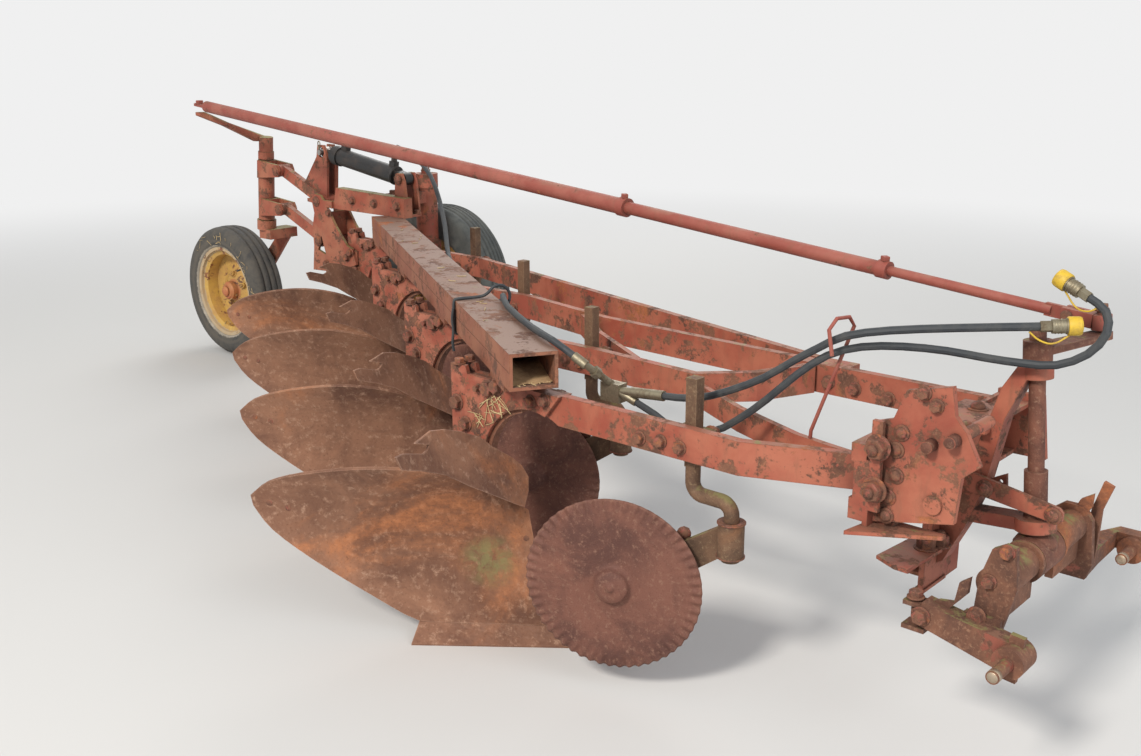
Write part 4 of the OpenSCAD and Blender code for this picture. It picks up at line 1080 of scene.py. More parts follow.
@dataclass
class Bottoms:
    """Cheeks, mouldboards, trash boards and landsides: their bolts and the stalks caught there."""

    shop: Workshop
    side: float = 90.0
    cheek_bolts: tuple[tuple[float, float, float], ...] = (
        (-303, 615, 32), (-181, 676, 36), (-149, 688, 32), (-218, 671, 16), (-271, 560, 30), (-29, 671, 25),
        (21, 684, 25))
    cheek_nuts: tuple[tuple[float, float, float], ...] = (
        (-303, 615, 30), (-181, 676, 30), (-271, 560, 30), (-29, 671, 24), (21, 684, 24))
    wing_bolts: tuple[tuple[float, float, float], ...] = ((-569.5, -460.7, 383.2), (-523.8, -434.1, 373.2))
    wing_way: tuple[float, float, float] = (0.48, -0.87, -0.1)
    shin_bolts: tuple[tuple[float, float], ...] = ((-42, 92), (-58, 190), (-76, 290))
    landside_bolts: tuple[tuple[float, float], ...] = ((-62, 50), (-142, 50), (-340, 56))

    def fixings(self) -> list[Fixing]:
        """Bolts and nuts of the first bottom."""
        made = [Fixing("cheeks", (x, -self.side, z), LANDWARD, width, 15) for x, z, width in self.cheek_bolts]
        made += [Fixing("cheeks", (x, self.side, z), FURROWWARD, width, 18, thread=9)
                 for x, z, width in self.cheek_nuts]
        made += [Fixing("cheeks", (-297, y, 790), DOWN, 24, 13) for y in (-18.8, 18.8)]
        way = Vector(self.wing_way)
        for place in self.wing_bolts:
            front = Vector(place) + way * 60
            made.append(Fixing("mouldboards", tuple(front), tuple(-way), 19, 1.8, Head.ROUND, washer=False))
            back = Vector(place) - way * 60
            made.append(Fixing("mouldboards", tuple(back), tuple(way), 22, 13, thread=8))
        made += [Fixing("mouldboards", (x + 90, -200, z), (-0.35, 0.94, 0), 17, 1.4, Head.ROUND, washer=False)
                 for x, z in self.shin_bolts]
        made += [Fixing("landsides", (x, self.side, z), FURROWWARD, 21, 2.0, Head.ROUND, washer=False)
                 for x, z in self.landside_bolts]
        made.append(Fixing("trash_boards", (-265, -self.side, 483), LANDWARD, 24, 12))
        return made

    def build(self) -> None:
        """Makes the bolts and the stalks."""
        bolts = Draft()
        for index in range(BOTTOMS):
            self.shop.fasten(bolts, self.fixings(), heel(index))
        bolts.make("bottom_bolts", self.shop.finishes["bolt"], "frame")
        straw = Draft()
        dice = self.shop.dice
        for _ in range(26):
            place = (dice.uniform(-235, -120), -self.side, dice.uniform(572, 650))
            self.shop.strand(straw, "cheeks", place, LANDWARD, dice.uniform(25, 75))
        straw.make("cheek_straw", self.shop.finishes["straw"], "frame")


@dataclass
class Frame:
    """Beams, braces and the diagonal box beam."""

    shop: Workshop
    box_cross: tuple[float, float] = (-105.0, 8.0)
    box_bottom: float = 725.0
    box_top: float = 820.0
    half_width: float = 62.5
    strap_at: float = 486.0
    clamp_bolts: tuple[tuple[float, float], ...] = ((317, 648), (379, 653), (435, 650))
    bar_bolts: tuple[tuple[float, float], ...] = ((500, 651), (600, 643), (420, 655))

    def on_box(self, along: float, across: float, height: float) -> Vector:
        """Finds a point by its place on the box beam.

        Args:
            along: Distance along the beam to the rear from its crossing with the first bottom.
            across: Distance from its middle line towards the land side.
            height: Height over the ground.

        Returns:
            The point in millimetres of the work frame.
        """
        run = PITCH.normalized()
        return Vector((self.box_cross[0] + run.x * along + run.y * across,
                       self.box_cross[1] + run.y * along - run.x * across, height))

    def bolts(self) -> None:
        """Makes the bolts of beams and braces."""
        draft = Draft()
        for index in range(BOTTOMS):
            beam = f"beam_{index + 1}"
            near = [Fixing(beam, (x, -60, z), LANDWARD, 24, 13) for x, z in self.clamp_bolts]
            far = [Fixing("coulter_posts", (x, 120, z), FURROWWARD, 26, 15, thread=12)
                   for x in (416, 472) for z in (645, 676)]
            self.shop.fasten(draft, near + far, heel(index))
        self.shop.fasten(draft, [Fixing("braces", (x, 620, z), LANDWARD, 27, 15) for x, z in self.bar_bolts])
        self.shop.fasten(draft, [Fixing("beam_4", (x, 830, z), FURROWWARD, 27, 18, thread=12)
                                 for x, z in self.bar_bolts[:2]])
        self.shop.fasten(draft, [Fixing("braces", (-180, 300, z), (0.5, 0.86, 0), 24, 13) for z in (645, 675)])
        draft.make("beam_bolts", self.shop.finishes["bolt"], "frame")

    def strap(self) -> None:
        """Ties a rubber strip round the box beam and the hose that crosses it."""
        low, high, half = self.box_bottom - 5, self.box_top + 5, self.half_width + 5
        corners = ((-half, 762), (-half, high - 6), (-half + 7, high), (0, high + 1), (30, high + 6), (52, high + 33),
                   (82, high + 34), (104, high + 8), (98, high - 26), (half + 3, 770), (half, low + 6),
                   (half - 7, low), (0, low), (-half + 7, low), (-half, low + 6), (-half, 762))
        path = [at(*self.on_box(self.strap_at + 3 * math.sin(step), across, height))
                for step, (across, height) in enumerate(corners)]
        draft = Draft()
        draft.tube(self.smooth(path), 4.6, 10)
        hanging = [(-half - 4, 800), (-half - 9, 770), (-half - 5, 735), (-half - 10, 700), (-half - 6, 672)]
        draft.tube(self.smooth([at(*self.on_box(self.strap_at - 12, across, height)) for across, height in hanging]),
                   4.2, 10)
        draft.make("hose_strap", self.shop.finishes["hose"], "frame")

    @staticmethod
    def smooth(path: Sequence[Vector]) -> list[Vector]:
        """Rounds a path's corners by cutting them twice.

        Args:
            path: Points of the path.

        Returns:
            The points of the smoother path.
        """
        for _ in range(2):
            cut = [path[0]]
            for one, two in zip(path, path[1:]):
                cut += [one.lerp(two, 0.25), one.lerp(two, 0.75)]
            path = cut + [path[-1]]
        return list(path)

    def straw(self) -> None:
        """Fills the box beam's open end with chaff and drops a few stalks on its top."""
        draft = Draft()
        dice = self.shop.dice
        for _ in range(110):
            place = self.on_box(dice.uniform(-150, -20), dice.uniform(-48, 48), 790)
            self.shop.strand(draft, "main_beam", place, DOWN, dice.uniform(14, 40))
        for _ in range(12):
            place = self.on_box(dice.uniform(-140, 2200), dice.uniform(-52, 52), 900)
            self.shop.strand(draft, "main_beam", place, DOWN, dice.uniform(12, 34))
        draft.make("box_straw", self.shop.finishes["straw"], "frame")

    def chaff(self) -> None:
        """Heaps chaff inside the box beam's open end."""
        draft = Draft()
        rows, columns = 14, 10
        dice = random.Random(3)
        for row in range(rows + 1):
            for column in range(columns + 1):
                along = -146 + 330 * row / rows
                across = -53 + 106 * column / columns
                heap = 30 * math.exp(-((row - 6) / 3.4) ** 2) * (0.7 + 0.3 * math.cos(column * 0.5))
                height = self.box_bottom + 9.4 + heap * (0.2 if row == 0 else 1) + dice.uniform(0, 4)
                draft.points.append(at(*self.on_box(along, across, height)))
        for row in range(rows):
            for column in range(columns):
                corner = row * (columns + 1) + column
                draft.faces.append((corner, corner + 1, corner + columns + 2, corner + columns + 1))
                draft.flat.append(False)
        draft.make("box_chaff", self.shop.finishes["chaff"], "frame")

    def build(self) -> None:
        """Makes every small piece of the frame."""
        self.bolts()
        self.strap()
        self.chaff()
        self.straw()


@dataclass
class Coulters:
    """Rippled discs with their hubs, and the bolts of the yokes."""

    shop: Workshop
    pivot: tuple[float, float] = (556.0, 27.8)
    rest: float = 25.0
    arm: float = 282.0
    axle_z: float = 292.0
    radius: float = 220.0
    ripple_from: float = 187.0
    ripples: int = 54
    swing: float = 2.6

    def ring_profile(self) -> list[tuple[float, float]]:
        """Radius and distance towards the hub's dome of each ring, from bore to bore."""
        near = [(12.6, -19), (40, -19), (43, -17), (43, -11), (52, -5), (60, -3), (120, -3), (self.ripple_from, -3)]
        rim = [(194, -2.8), (201, -2.4), (208, -1.9), (214, -1.3), (self.radius, -0.7), (self.radius, 0.7),
               (214, 1.3), (208, 1.9), (201, 2.4), (194, 2.8)]
        far = [(self.ripple_from, 3), (120, 3), (60, 3), (50, 4), (47, 7), (43, 10), (42, 18), (38, 24), (20, 26.2),
               (9, 26.8), (8, 30), (0, 31)]
        return near + rim + far

    def disc(self, index: int) -> None:
        """Makes one disc, whose edge is pressed into ripples, and its yoke's hardware.

        Args:
            index: The bottom's number from 0.
        """
        turn = math.radians(self.rest)
        axis = Vector((math.sin(turn), -math.cos(turn), 0))
        centre = Vector((self.pivot[0] - self.arm * math.cos(turn), self.pivot[1] - self.arm * math.sin(turn),
                         self.axle_z)) + heel(index)
        side = Vector((math.cos(turn), math.sin(turn), 0))
        up = Vector(UP)
        steps = self.ripples * 6
        draft = Draft()
        rings = []
        for radius, height in self.ring_profile():
            share = max(0.0, min(1.0, (radius - self.ripple_from) / 12))
            ring = []
            for step in range(steps if radius > 0 else 1):
                angle = 2 * math.pi * step / steps
                wave = math.sin(self.ripples * angle)
                lobe = math.copysign(abs(wave) ** 0.6, wave)
                reach = radius - (1.1 * share * (1 - lobe) if radius > 213 else 0)
                spot = centre + (side * math.cos(angle) + up * math.sin(angle)) * reach
                ring.append(len(draft.points))
                draft.points.append(at(*(spot + axis * (height + share * self.swing * lobe))))
            rings.append(ring)
        for low, high in zip(rings, rings[1:]):
            for step in range(steps):
                after = (step + 1) % steps
                corners = (low[step % len(low)], high[step % len(high)], high[after % len(high)], low[after % len(low)])
                unique = tuple(dict.fromkeys(corners))
                if len(unique) > 2:
                    draft.faces.append(unique)
                    draft.flat.append(False)
        node = f"coulter_disc_{index + 1}"
        piece = draft.make(f"rippled_disc_{index + 1}", self.shop.finishes["disc"], node)
        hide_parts(node)
        yoke = Draft()
        yoke.fastener(at(*(centre - axis * 38)), -axis, 34, 20)
        yoke.stud(at(*(centre - axis * 58)), -axis, 20, 12)
        head = Vector((self.pivot[0], self.pivot[1], 0)) + heel(index)
        for height, radius in ((484, 34), (400, 34)):
            yoke.turned(at(*(head + up * height)), up, [(18.4, 0), (radius, 0), (radius, 3), (18.4, 3)], 28)
        arm = head - side * 118 - axis * 19
        yoke.fastener(at(*(arm - axis * 19 + up * 428)), -axis, 24, 13)
        yoke.make(f"yoke_hardware_{index + 1}", self.shop.finishes["bolt"], f"coulter_yoke_{index + 1}")

    def build(self) -> None:
        """Makes the four discs and their hardware."""
        for index in range(BOTTOMS):
            self.disc(index)


@dataclass
class Headstock:
    """Bolts, bracket nuts and spare pins of the headstock and mast."""

    shop: Workshop
    plate_bolts: tuple[tuple[float, float], ...] = ((941, 778), (932, 739), (935, 683), (921, 632), (919, 590))
    bracket_nuts: tuple[tuple[float, float], ...] = ((903, 744), (900, 650))
    spare_pins: tuple[tuple[float, float], ...] = ((1008, 768), (1056, 788))
    corner_bolts: tuple[tuple[float, float], ...] = ((984, 872), (1012, 850))
    far_bolts: tuple[tuple[float, float], ...] = ((915, 600), (915, 680), (972, 640))
    shelf_nuts: tuple[tuple[float, float], ...] = ((914, 282), (928, 320))
    pin_tip: float = 35.0
    plate_face: float = 64.0

    def build(self) -> None:
        """Makes the headstock's small pieces."""
        bolts = Draft()
        fixings = [Fixing("headstock", (x, 0, z), LANDWARD, 25, 7, Head.ROUND) for x, z in self.plate_bolts]
        fixings += [Fixing("headstock", (x, -20, z), LANDWARD, 40, 22, thread=10) for x, z in self.bracket_nuts]
        fixings += [Fixing("headstock", (x, 0, z), LANDWARD, 22, 12) for x, z in self.corner_bolts]
        fixings += [Fixing("headstock", (x, 780, z), FURROWWARD, 27, 15, thread=8)
                    for x, z in self.far_bolts]
        fixings += [Fixing("mast", (x, y, 480), DOWN, 38, 22, thread=12) for x, y in self.shelf_nuts]
        fixings += [Fixing("headstock", (840, y, z), FORWARD, 26, 15) for y in (520, 610) for z in (600, 670)]
        fixings.append(Fixing("headstock", (933, 456, 790), DOWN, 34, 16, Head.ROUND))
        self.shop.fasten(bolts, fixings)
        bolts.make("headstock_bolts", self.shop.finishes["bolt"], "frame")
        pins = Draft()
        length = self.plate_face - self.pin_tip - 0.5
        for x, z in self.spare_pins:
            profile = [(0, -1.2), (10, -1.2), (13.6, 1.6), (13.8, length), (0, length)]
            pins.turned(at(x, self.pin_tip, z), Vector(LANDWARD), profile, 28)
        pins.make("spare_pins", self.shop.finishes["hitch"], "frame")


@dataclass
class Hitch:
    """Bolts of the lock strap, the cross shaft and the steering arm."""

    shop: Workshop
    strap_face: float = 334.7
    strap_bolts: tuple[tuple[float, float], ...] = ((1015, 597), (1169, 573))
    link_pins: tuple[tuple[float, float, float], ...] = ((1200, 2, 340), (1200, 748, 340))
    shaft: tuple[float, float, float] = (1125.0, 375.0, 462.0)
    lean: float = 5.0
    post_top: float = 508.0
    ring_at: float = 52.0
    shaft_bolts: tuple[tuple, ...] = (
        ((975, 118, 440), DOWN, 27, 14), ((1104, 60, 392), LANDWARD, 30, 16),
        ((1150, 60, 545), LANDWARD, 24, 12), ((1118, 60, 470), LANDWARD, 24, 12),
        ((1000, 60, 372), LANDWARD, 30, 14))

    def build(self) -> None:
        """Makes the hitch's small pieces."""
        bolts = Draft()
        for x, z in self.strap_bolts:
            bolts.fastener(at(x, self.strap_face, z), Vector(FURROWWARD), 27, 9, Head.ROUND)
            bolts.fastener(at(x, self.strap_face + 10, z), Vector(LANDWARD), 27, 9 if x < 1100 else 15, washer=False)
        bolts.make("strap_bolts", self.shop.finishes["bolt"], "frame")
        shaft = Draft()
        self.shop.fasten(shaft, [Fixing("cross_shaft", *bolt) for bolt in self.shaft_bolts])
        shaft.make("shaft_bolts", self.shop.finishes["bolt"], "cross_shaft")
        tips = Draft()
        for x, y, z in self.link_pins:
            tips.turned(at(x, y - 1.0, z), Vector(LANDWARD), [(0, 0), (10.5, 0), (14.5, 4), (14.6, 16), (0, 16)], 28)
        tips.make("pin_tips", self.shop.finishes["bright"], "cross_shaft")
        post = Draft()
        tilt = math.radians(self.lean)
        up = Vector((-math.sin(tilt), 0, math.cos(tilt)))
        top = Vector(self.shaft) + up * self.post_top
        post.turned(at(*top), up, [(0, -1), (15, -1), (15, 2), (12, 4), (0, 5)], 24)
        ring = Vector(self.shaft) + up * self.ring_at
        post.turned(at(*ring), up, [(25.2, 0), (27, 0), (40, -16), (46.8, -26), (46.8, -34), (25.2, -34)], 40)
        pin = Vector(self.shaft) + Vector((62 * math.cos(tilt), 200, 62 * math.sin(tilt))) + up * (449 + 64)
        post.turned(at(*pin), up, [(0, -1), (15, -1), (16, 1), (16, 4), (15, 5), (0, 5)], 24)
        post.fastener(at(*pin) + up * 0.005, up, 26, 10, washer=False)
        post.make("post_hardware", self.shop.finishes["hitch"], "hitch_post")


@dataclass
class TailGear:
    """Pins, clips and bolts round the tail wheel's linkage and its cylinder."""

    shop: Workshop
    front: tuple[float, float] = (-2510.4, 843.0)
    rear: tuple[float, float] = (-2811.0, 958.4)
    gap: float = 180.0
    front_ends: tuple[float, float] = (1170.0, 1298.0)
    rear_ends: tuple[float, float] = (1171.0, 1265.0)
    eye: tuple[float, float, float] = (-2512.4, 1248.0, 1060.0)
    cylinder_foot: tuple[float, float, float] = (-1973.0, 1248.0, 978.0)
    band: tuple[float, float, float] = (58, 8, 40.0)
    collars: tuple[tuple[float, float], ...] = ((560, 23), (1480, 29))
    side_bolts: tuple[tuple[float, float, float, float], ...] = (
        (-2305, 612, 27, 14), (-2278, 636, 27, 14), (-2420, 800, 24, 13), (-2458, 566, 24, 13),
        (-1960, 868, 27, 14), (-2110, 868, 27, 14), (-2260, 868, 27, 14))
    arm_tip: tuple[float, float, float] = (1144.3, 575.0, 952.6)
    lever_tip: tuple[float, float, float] = (-3030.0, 942.0, 1262.0)

    def pin_end(self, draft: Draft, spot: Vector, way: Vector, radius: float = 15.0) -> None:
        """Adds a washer and a split pin at the end of a pin.

        Args:
            draft: The mesh that they join.
            spot: Middle of the pin's end face, in metres.
            way: Direction out of the pin.
            radius: The pin's radius in millimetres.
        """
        draft.turned(spot - way * 0.004, way, [(radius - 1, 0), (radius + 8, 0), (radius + 8, 3), (radius - 1, 3)], 28)
        draft.turned(spot, way, [(radius - 2, -1), (radius, -1), (radius - 2, 2), (0, 2.4)], 28)
        cross = way.cross(Vector((0.4, 0, 0.9))).normalized()
        draft.tube([spot + cross * s * MM for s in (-radius - 6, 0, radius + 9)], 2.2, 8)

    def build(self) -> None:
        """Makes the tail gear's small pieces."""
        near, far = Vector(FURROWWARD), Vector(LANDWARD)
        frame = Draft()
        for drop in (0.0, self.gap):
            self.pin_end(frame, at(self.front[0], self.front_ends[0], self.front[1] - drop), near)
            self.pin_end(frame, at(self.front[0], self.front_ends[1], self.front[1] - drop), far)
        fixings = [Fixing("tail_frame", (x, 1100, z), LANDWARD, across, height)
                   for x, z, across, height in self.side_bolts]
        fixings += [Fixing("tail_frame", (x, y, 880), DOWN, 24, 13) for x in (-2020, -1932) for y in (1200, 1270)]
        fixings += [Fixing("land_leg", (-2078, y, 960), DOWN, 27, 14) for y in (1262, 1320)]
        fixings += [Fixing("land_leg", (-2078, 1454, 1060), DOWN, 30, 10)]
        self.shop.fasten(frame, fixings)
        for end, way in ((-48, near), (48, far)):
            spot = Vector(self.cylinder_foot) + Vector((0, end, 0))
            self.pin_end(frame, at(*spot), way, 12.5)
        frame.make("tail_bolts", self.shop.finishes["bolt"], "frame")
        carrier = Draft()
        for drop in (0.0, self.gap):
            self.pin_end(carrier, at(self.rear[0], self.rear_ends[0], self.rear[1] - drop), near)
            self.pin_end(carrier, at(self.rear[0], self.rear_ends[1], self.rear[1] - drop), far)
        carrier.make("carrier_pins", self.shop.finishes["bolt"], "tail_carrier")
        clip = Draft()
        base = Vector(self.eye) + Vector((0, -39, 0))
        loop = [(0, 0, -14), (-2, 0, 16), (-9, 0, 34), (-7, 0, 46), (0, 0, 50), (7, 0, 45), (8, 0, 34), (2, -2, 14)]
        clip.tube(Frame.smooth([at(*(base + Vector(step))) for step in loop]), 2.3, 8)
        self.pin_end(clip, at(*(Vector(self.eye) + Vector((0, 43, 0)))), far, 12.5)
        clip.make("hairpin_clip", self.shop.finishes["fitting"], "cylinder_rod")
        self.barrel()
        self.rod()

    def barrel(self) -> None:
        """Adds the ring round the cylinder's foot end."""
        foot = Vector(self.cylinder_foot)
        way = (Vector(self.eye) - foot).normalized()
        start, width, radius = self.band
        profile = [(34, 0), (radius, 0), (radius + 1, 1.5), (radius + 1, width - 1.5), (radius, width), (34, width)]
        draft = Draft()
        draft.turned(at(*(foot + way * start)), way, profile, 40)
        draft.make("barrel_rings", self.shop.finishes["barrel"], "cylinder_barrel")

    def rod(self) -> None:
        """Adds the set bolts on the steering rod's sleeves and the fork's washers."""
        start, end = Vector(self.arm_tip), Vector(self.lever_tip)
        way = (end - start).normalized()
        side = Vector(UP).cross(way).normalized()
        up = way.cross(side)
        draft = Draft()
        for along, radius in self.collars:
            spot = start + way * along
            draft.fastener(at(*(spot + up * radius)), up, 17, 12, Head.SQUARE, washer=False)
        draft.fastener(at(*(end + Vector((0, 0, 6)))), Vector(UP), 30, 12, washer=True)
        draft.make("rod_bolts", self.shop.finishes["rod"], "steering_rod")
        fork = Draft()
        for way_out in (-1, 1):
            spot = start + way * 70 - side * way_out * 23
            fork.turned(at(*spot), -side * way_out, [(0, -1), (13, -1), (13, 3), (9, 4.6), (0, 5)], 24)
        fork.make("fork_bolts", self.shop.finishes["bolt"], "rod_fork")


@dataclass
class Wheel:
    """A tyre with its tread, and the nuts, cap and valve of its rim. Sizes in millimetres."""

    shop: Workshop
    name: str
    axle: tuple[float, float, float]
    radius: float
    width: float
    bead: float
    body: str
    outward: float
    grooves: tuple[float, ...]
    groove_depth: float
    tyre_finish: bpy.types.Material
    rim_finish: bpy.types.Material
    nuts: int = 5
    nut_circle: float = 78.0

    def wall(self) -> list[tuple[float, float]]:
        """Outer half profile from the bead's heel to the shoulder: radius, distance from the middle."""
        r, w, b = self.radius, self.width, self.bead
        return [(b + 0.5, w * 0.36 - 14), (b, w * 0.36 - 0.6), (b + 10.2, w * 0.36 + 3.6), (b + 12, w * 0.43),
                (b + 20, w * 0.462), (b + 26, w * 0.47), (b + 29, w * 0.481), (b + 33, w * 0.478),
                (b + 0.45 * (r - b), w * 0.5), (r - 38, w * 0.487), (r - 26, w * 0.468), (r - 18, w * 0.43),
                (r - 8, w * 0.36)]

    def tread(self) -> list[tuple[float, float]]:
        """Profile over the tread, with a groove at each of the grooves' places."""
        half = self.width * 0.33
        made = []
        for place in sorted(self.grooves):
            crown = self.radius - 8 * (abs(place) / half) ** 2.6
            low = crown - self.groove_depth
            made += [(crown, place - 4.2), (low, place - 2.6), (low, place + 2.6), (crown, place + 4.2)]
        return made

    def tyre(self) -> None:
        """Makes the tyre and lets it stand for its node."""
        profile = [(radius, -offset) for radius, offset in self.wall()]
        profile += [(radius, offset) for radius, offset in self.tread()]
        profile += [(radius, offset) for radius, offset in reversed(self.wall())]
        r, w, b = self.radius, self.width, self.bead
        inner = [(b + 16, w * 0.3), (b + 0.45 * (r - b), w * 0.42), (r - 30, w * 0.38), (r - 16, w * 0.28)]
        profile += inner + [(radius, -offset) for radius, offset in reversed(inner)]
        profile.append(profile[0])
        draft = Draft()
        draft.turned(at(*self.axle), Vector(LANDWARD), profile, 112)
        piece = draft.make(f"{self.name}_tread", self.tyre_finish, self.body)
        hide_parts(f"{self.name}_tyre")

    def hardware(self) -> None:
        """Makes the wheel nuts, hub cap and valve."""
        draft = Draft()
        x, y, z = self.axle
        way = (0.0, -self.outward, 0.0)
        for index in range(self.nuts):
            angle = 2 * math.pi * index / self.nuts + 0.4
            start = (x + self.nut_circle * math.cos(angle), y + self.outward * 140,
                     z + self.nut_circle * math.sin(angle))
            self.shop.fasten(draft, [Fixing(f"{self.name}_rim", start, way, 25, 15, thread=7)])
        out = Vector((0, self.outward, 0))
        found = self.shop.seat(f"{self.name}_rim", (x, y + self.outward * 140, z), way)
        if found:
            draft.turned(found[0], out, [(0, -1), (26, -1), (26, 4), (22, 9), (12, 12), (0, 13)], 32)
        draft.make(f"{self.name}_nuts", self.rim_finish, self.body)
        valve = Draft()
        foot = Vector((x + (self.bead - 36) * 0.7, y + self.outward * 30, z + (self.bead - 36) * 0.7))
        tip = foot + Vector((-8, self.outward * 30, -8))
        valve.tube([at(*foot), at(*foot.lerp(tip, 0.5)), at(*tip)], 4.2, 12)
        valve.make(f"{self.name}_valve", self.shop.finishes["hose"], self.body)

    def straw(self, count: int) -> None:
        """Lays dry stalks on the tyre's near wall and in the rim's well.

        Args:
            count: Number of stalks on the tyre; the rim gets half of it.
        """
        draft = Draft()
        dice = self.shop.dice
        x, y, z = self.axle
        for _ in range(count):
            angle = dice.uniform(-0.4, 2.4)
            reach = dice.uniform(self.radius * 0.72, self.radius * 0.9)
            start = (x + reach * math.cos(angle), y - 200, z + reach * math.sin(angle))
            self.shop.strand(draft, f"{self.name}_tyre", start, LANDWARD, dice.uniform(14, 46))
        for _ in range(count // 2):
            start = (x + dice.uniform(-60, 60), y + dice.uniform(-45, -10), z)
            self.shop.strand(draft, f"{self.name}_rim", start, DOWN, dice.uniform(20, 50))
        draft.make(f"{self.name}_straw", self.shop.finishes["straw"], self.body)

    def build(self, straw: int = 0) -> None:
        """Makes the wheel's pieces.

        Args:
            straw: Number of stalks on the tyre.
        """
        self.tyre()
        self.hardware()
        if straw:
            self.straw(straw)


@dataclass(frozen=True)
class Coupler:
    """Where a hose's coupler starts and points."""

    start: tuple[float, float, float]
    way: tuple[float, float, float]


@dataclass
class HoseEnds:
    """Dust caps with their tethers, and the rings on the hoses' couplers."""

    shop: Workshop
    couplers: tuple[Coupler, ...] = (Coupler((1110, 305, 985), (0.855, 0.515, 0.057)),
                                     Coupler((1180, 372, 1044), (-0.898, 0.159, 0.410)))
    ring_places: tuple[float, ...] = (30, 36, 42)

    def build(self) -> None:
        """Makes the caps and rings."""
        caps = Draft()
        rings = Draft()
        for coupler in self.couplers:
            way = Vector(coupler.way).normalized()
            base = at(*coupler.start)
            cup = [(17.2, 0), (19, 0), (20, 2), (20, 22), (18.5, 27), (12, 29), (0, 29.5)]
            caps.turned(base + way * 0.054, way, cup, 32)
            strap = [base + way * 0.06 + Vector((0, 0, -0.019)), base + way * 0.03 + Vector((0, 0, -0.04)),
                     base + Vector((0, 0, -0.03)), base - way * 0.02 + Vector((0, 0, -0.0105))]
            caps.tube(Frame.smooth(strap), 2.0, 8)
            for step in self.ring_places:
                rings.turned(base + way * step * MM, way, [(15.0, -1.4), (15.9, -0.6), (15.9, 0.6), (15.0, 1.4)], 28)
        caps.make("dust_caps", self.shop.finishes["cap"], "frame")
        rings.make("coupler_rings", self.shop.finishes["fitting"], "frame")


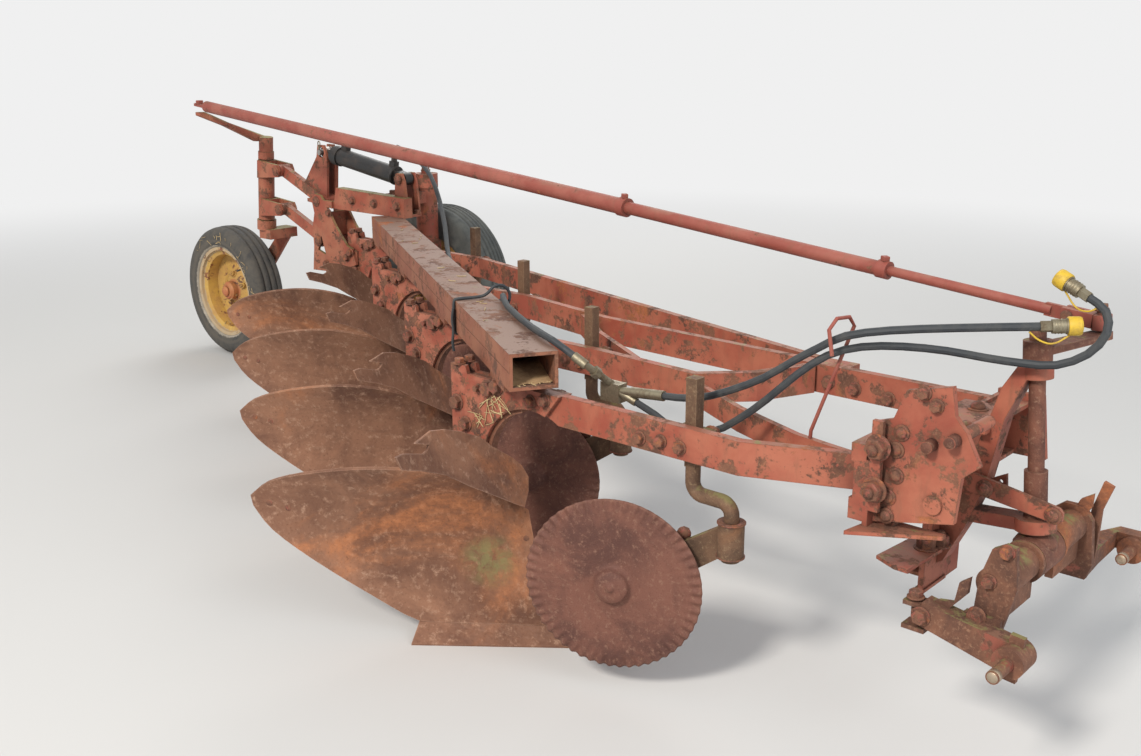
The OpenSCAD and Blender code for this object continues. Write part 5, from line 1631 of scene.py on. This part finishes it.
@dataclass
class Studio:
    """Camera at the photograph's place, plain floor and soft light."""

    eye: tuple[float, float, float] = (2011.0, -2146.0, 1568.0)
    azimuth: float = 41.91
    elevation: float = 15.86
    roll: float = -0.22
    focal: float = 1211.1
    frame_width: float = 1141.0
    sensor: float = 36.0
    floor_tint: Tint = Tint(206, 205, 203)
    backdrop: Tint = Tint(240, 240, 240)
    floor_fade: tuple[float, float] = (3.2, 9.0)

    def camera(self) -> None:
        """Places the camera and makes it the scene's own."""
        data = bpy.data.cameras.new("Camera")
        data.sensor_width = self.sensor
        data.lens = self.focal / self.frame_width * self.sensor
        data.clip_end = 100.0
        turn, rise, roll = (math.radians(v) for v in (self.azimuth, self.elevation, self.roll))
        back = Vector((math.sin(turn) * math.cos(rise), -math.cos(turn) * math.cos(rise), math.sin(rise)))
        right = Vector((math.cos(turn), math.sin(turn), 0.0))
        up = right.cross(-back)
        side = right * math.cos(roll) + up * math.sin(roll)
        top = up * math.cos(roll) - right * math.sin(roll)
        camera = bpy.data.objects.new("Camera", data)
        pose = Matrix((side, top, back)).transposed().to_4x4()
        pose.translation = at(*self.eye)
        camera.matrix_world = pose
        bpy.context.scene.collection.objects.link(camera)
        bpy.context.scene.camera = camera

    def seen(self, bench: Bench) -> bpy.types.NodeSocket:
        """Rays that look at the backdrop: the camera's, mirrored ones and those through glass.

        Args:
            bench: Helper on the material's or the world's tree.

        Returns:
            Share from 0 to 1.
        """
        ray = bench.add("ShaderNodeLightPath")
        straight = bench.maths("MAXIMUM", ray.outputs["Is Camera Ray"], ray.outputs["Is Glossy Ray"])
        return bench.maths("MAXIMUM", straight, ray.outputs["Is Transmission Ray"])

    def floor(self) -> None:
        """Lays a plain pale floor that fades into the backdrop before its far edge shows."""
        mesh = bpy.data.meshes.new("Floor")
        reach = 40.0
        mesh.from_pydata([(-reach, -reach, 0), (reach, -reach, 0), (reach, reach, 0), (-reach, reach, 0)], [],
                         [(0, 1, 2, 3)])
        shader = Shader("FloorFinish")
        shader.put(Base_Color=self.floor_tint.linear(), Roughness=0.9)
        bench = shader.bench
        away = bench.add("ShaderNodeVectorMath", {0: shader.place}, operation="LENGTH").outputs["Value"]
        far = bench.times(bench.span(away, self.floor_fade[0], self.floor_fade[1]), self.seen(bench))
        glow = bench.add("ShaderNodeEmission", {"Color": self.backdrop.linear(), "Strength": 1.0})
        mix = bench.add("ShaderNodeMixShader", {0: far, 1: shader.surface.outputs[0], 2: glow.outputs[0]})
        sink = next(n for n in shader.material.node_tree.nodes if n.type == "OUTPUT_MATERIAL")
        bench.feed(sink.inputs["Surface"], mix.outputs[0])
        mesh.materials.append(shader.material)
        plane = bpy.data.objects.new("Floor", mesh)
        bpy.context.scene.collection.objects.link(plane)

    def lights(self) -> None:
        """Hangs the soft lamps and sets the world's light."""
        for name, place, size, power, tint in (
                ("KeyLight", (2.2, -9.6, 8.0), 2.0, 1300.0, (1.0, 0.955, 0.89)),
                ("FillLight", (6.5, -1.0, 3.2), 4.0, 130.0, (0.93, 0.96, 1.0)),
                ("BackLight", (-3.5, 5.0, 4.6), 4.0, 160.0, (1.0, 0.98, 0.95))):
            data = bpy.data.lights.new(name, "AREA")
            data.size = size
            data.energy = power
            data.color = tint
            lamp = bpy.data.objects.new(name, data)
            lamp.location = place
            aim = Vector((0.2, 0.0, 0.5)) - Vector(place)
            lamp.rotation_euler = aim.to_track_quat("-Z", "Y").to_euler()
            bpy.context.scene.collection.objects.link(lamp)
        world = bpy.data.worlds.new("StudioWorld")
        world.use_nodes = True
        bpy.context.scene.world = world
        bench = Bench(world.node_tree)
        world.node_tree.nodes.clear()
        soft = bench.add("ShaderNodeBackground", {"Color": (0.9, 0.95, 1.0, 1.0), "Strength": 0.5})
        seen = bench.add("ShaderNodeBackground", {"Color": self.backdrop.linear(), "Strength": 1.0})
        mix = bench.add("ShaderNodeMixShader", {0: self.seen(bench), 1: soft.outputs[0], 2: seen.outputs[0]})
        bench.add("ShaderNodeOutputWorld", {"Surface": mix.outputs[0]})

    def build(self) -> None:
        """Sets the view and builds the studio."""
        bpy.context.scene.view_settings.view_transform = "Standard"
        self.floor()
        self.lights()


def dress(shop: Workshop) -> None:
    """Adds the small pieces of every sub-assembly.

    Args:
        shop: Seats pieces on the frame's nodes.
    """
    kit = shop.finishes
    for kind in (Bottoms, Frame, Coulters, Headstock, Hitch, TailGear, HoseEnds):
        part = kind(shop)
        LOG.info("-- %s", type(part).__name__)
        part.build()
    Wheel(shop, "tail", TAIL_AXLE, 325, 165, 215, "tail_wheel", -1, (-34, 0, 34), 8, kit["tail_tyre"],
          kit["tail_rim"]).build(straw=34)
    Wheel(shop, "land", LAND_AXLE, 360, 165, 205, "land_wheel", 1, (-42, -21, 0, 21, 42), 6, kit["land_tyre"],
          kit["land_rim"]).build()


def main() -> None:
    """Builds the plough's looks in order."""
    logging.basicConfig(level=logging.INFO, format="%(message)s")
    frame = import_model()
    studio = Studio()
    studio.camera()
    finishes = Finishes(Effects())
    for name, material in finishes.of_nodes().items():
        node = frame["nodes"][name]
        node.data.materials.clear()
        node.data.materials.append(material)
        LOG.info("%s: %s", name, material.name)
    dress(Workshop(frame, finishes))
    studio.build()


if __name__ == "__main__":
    main()
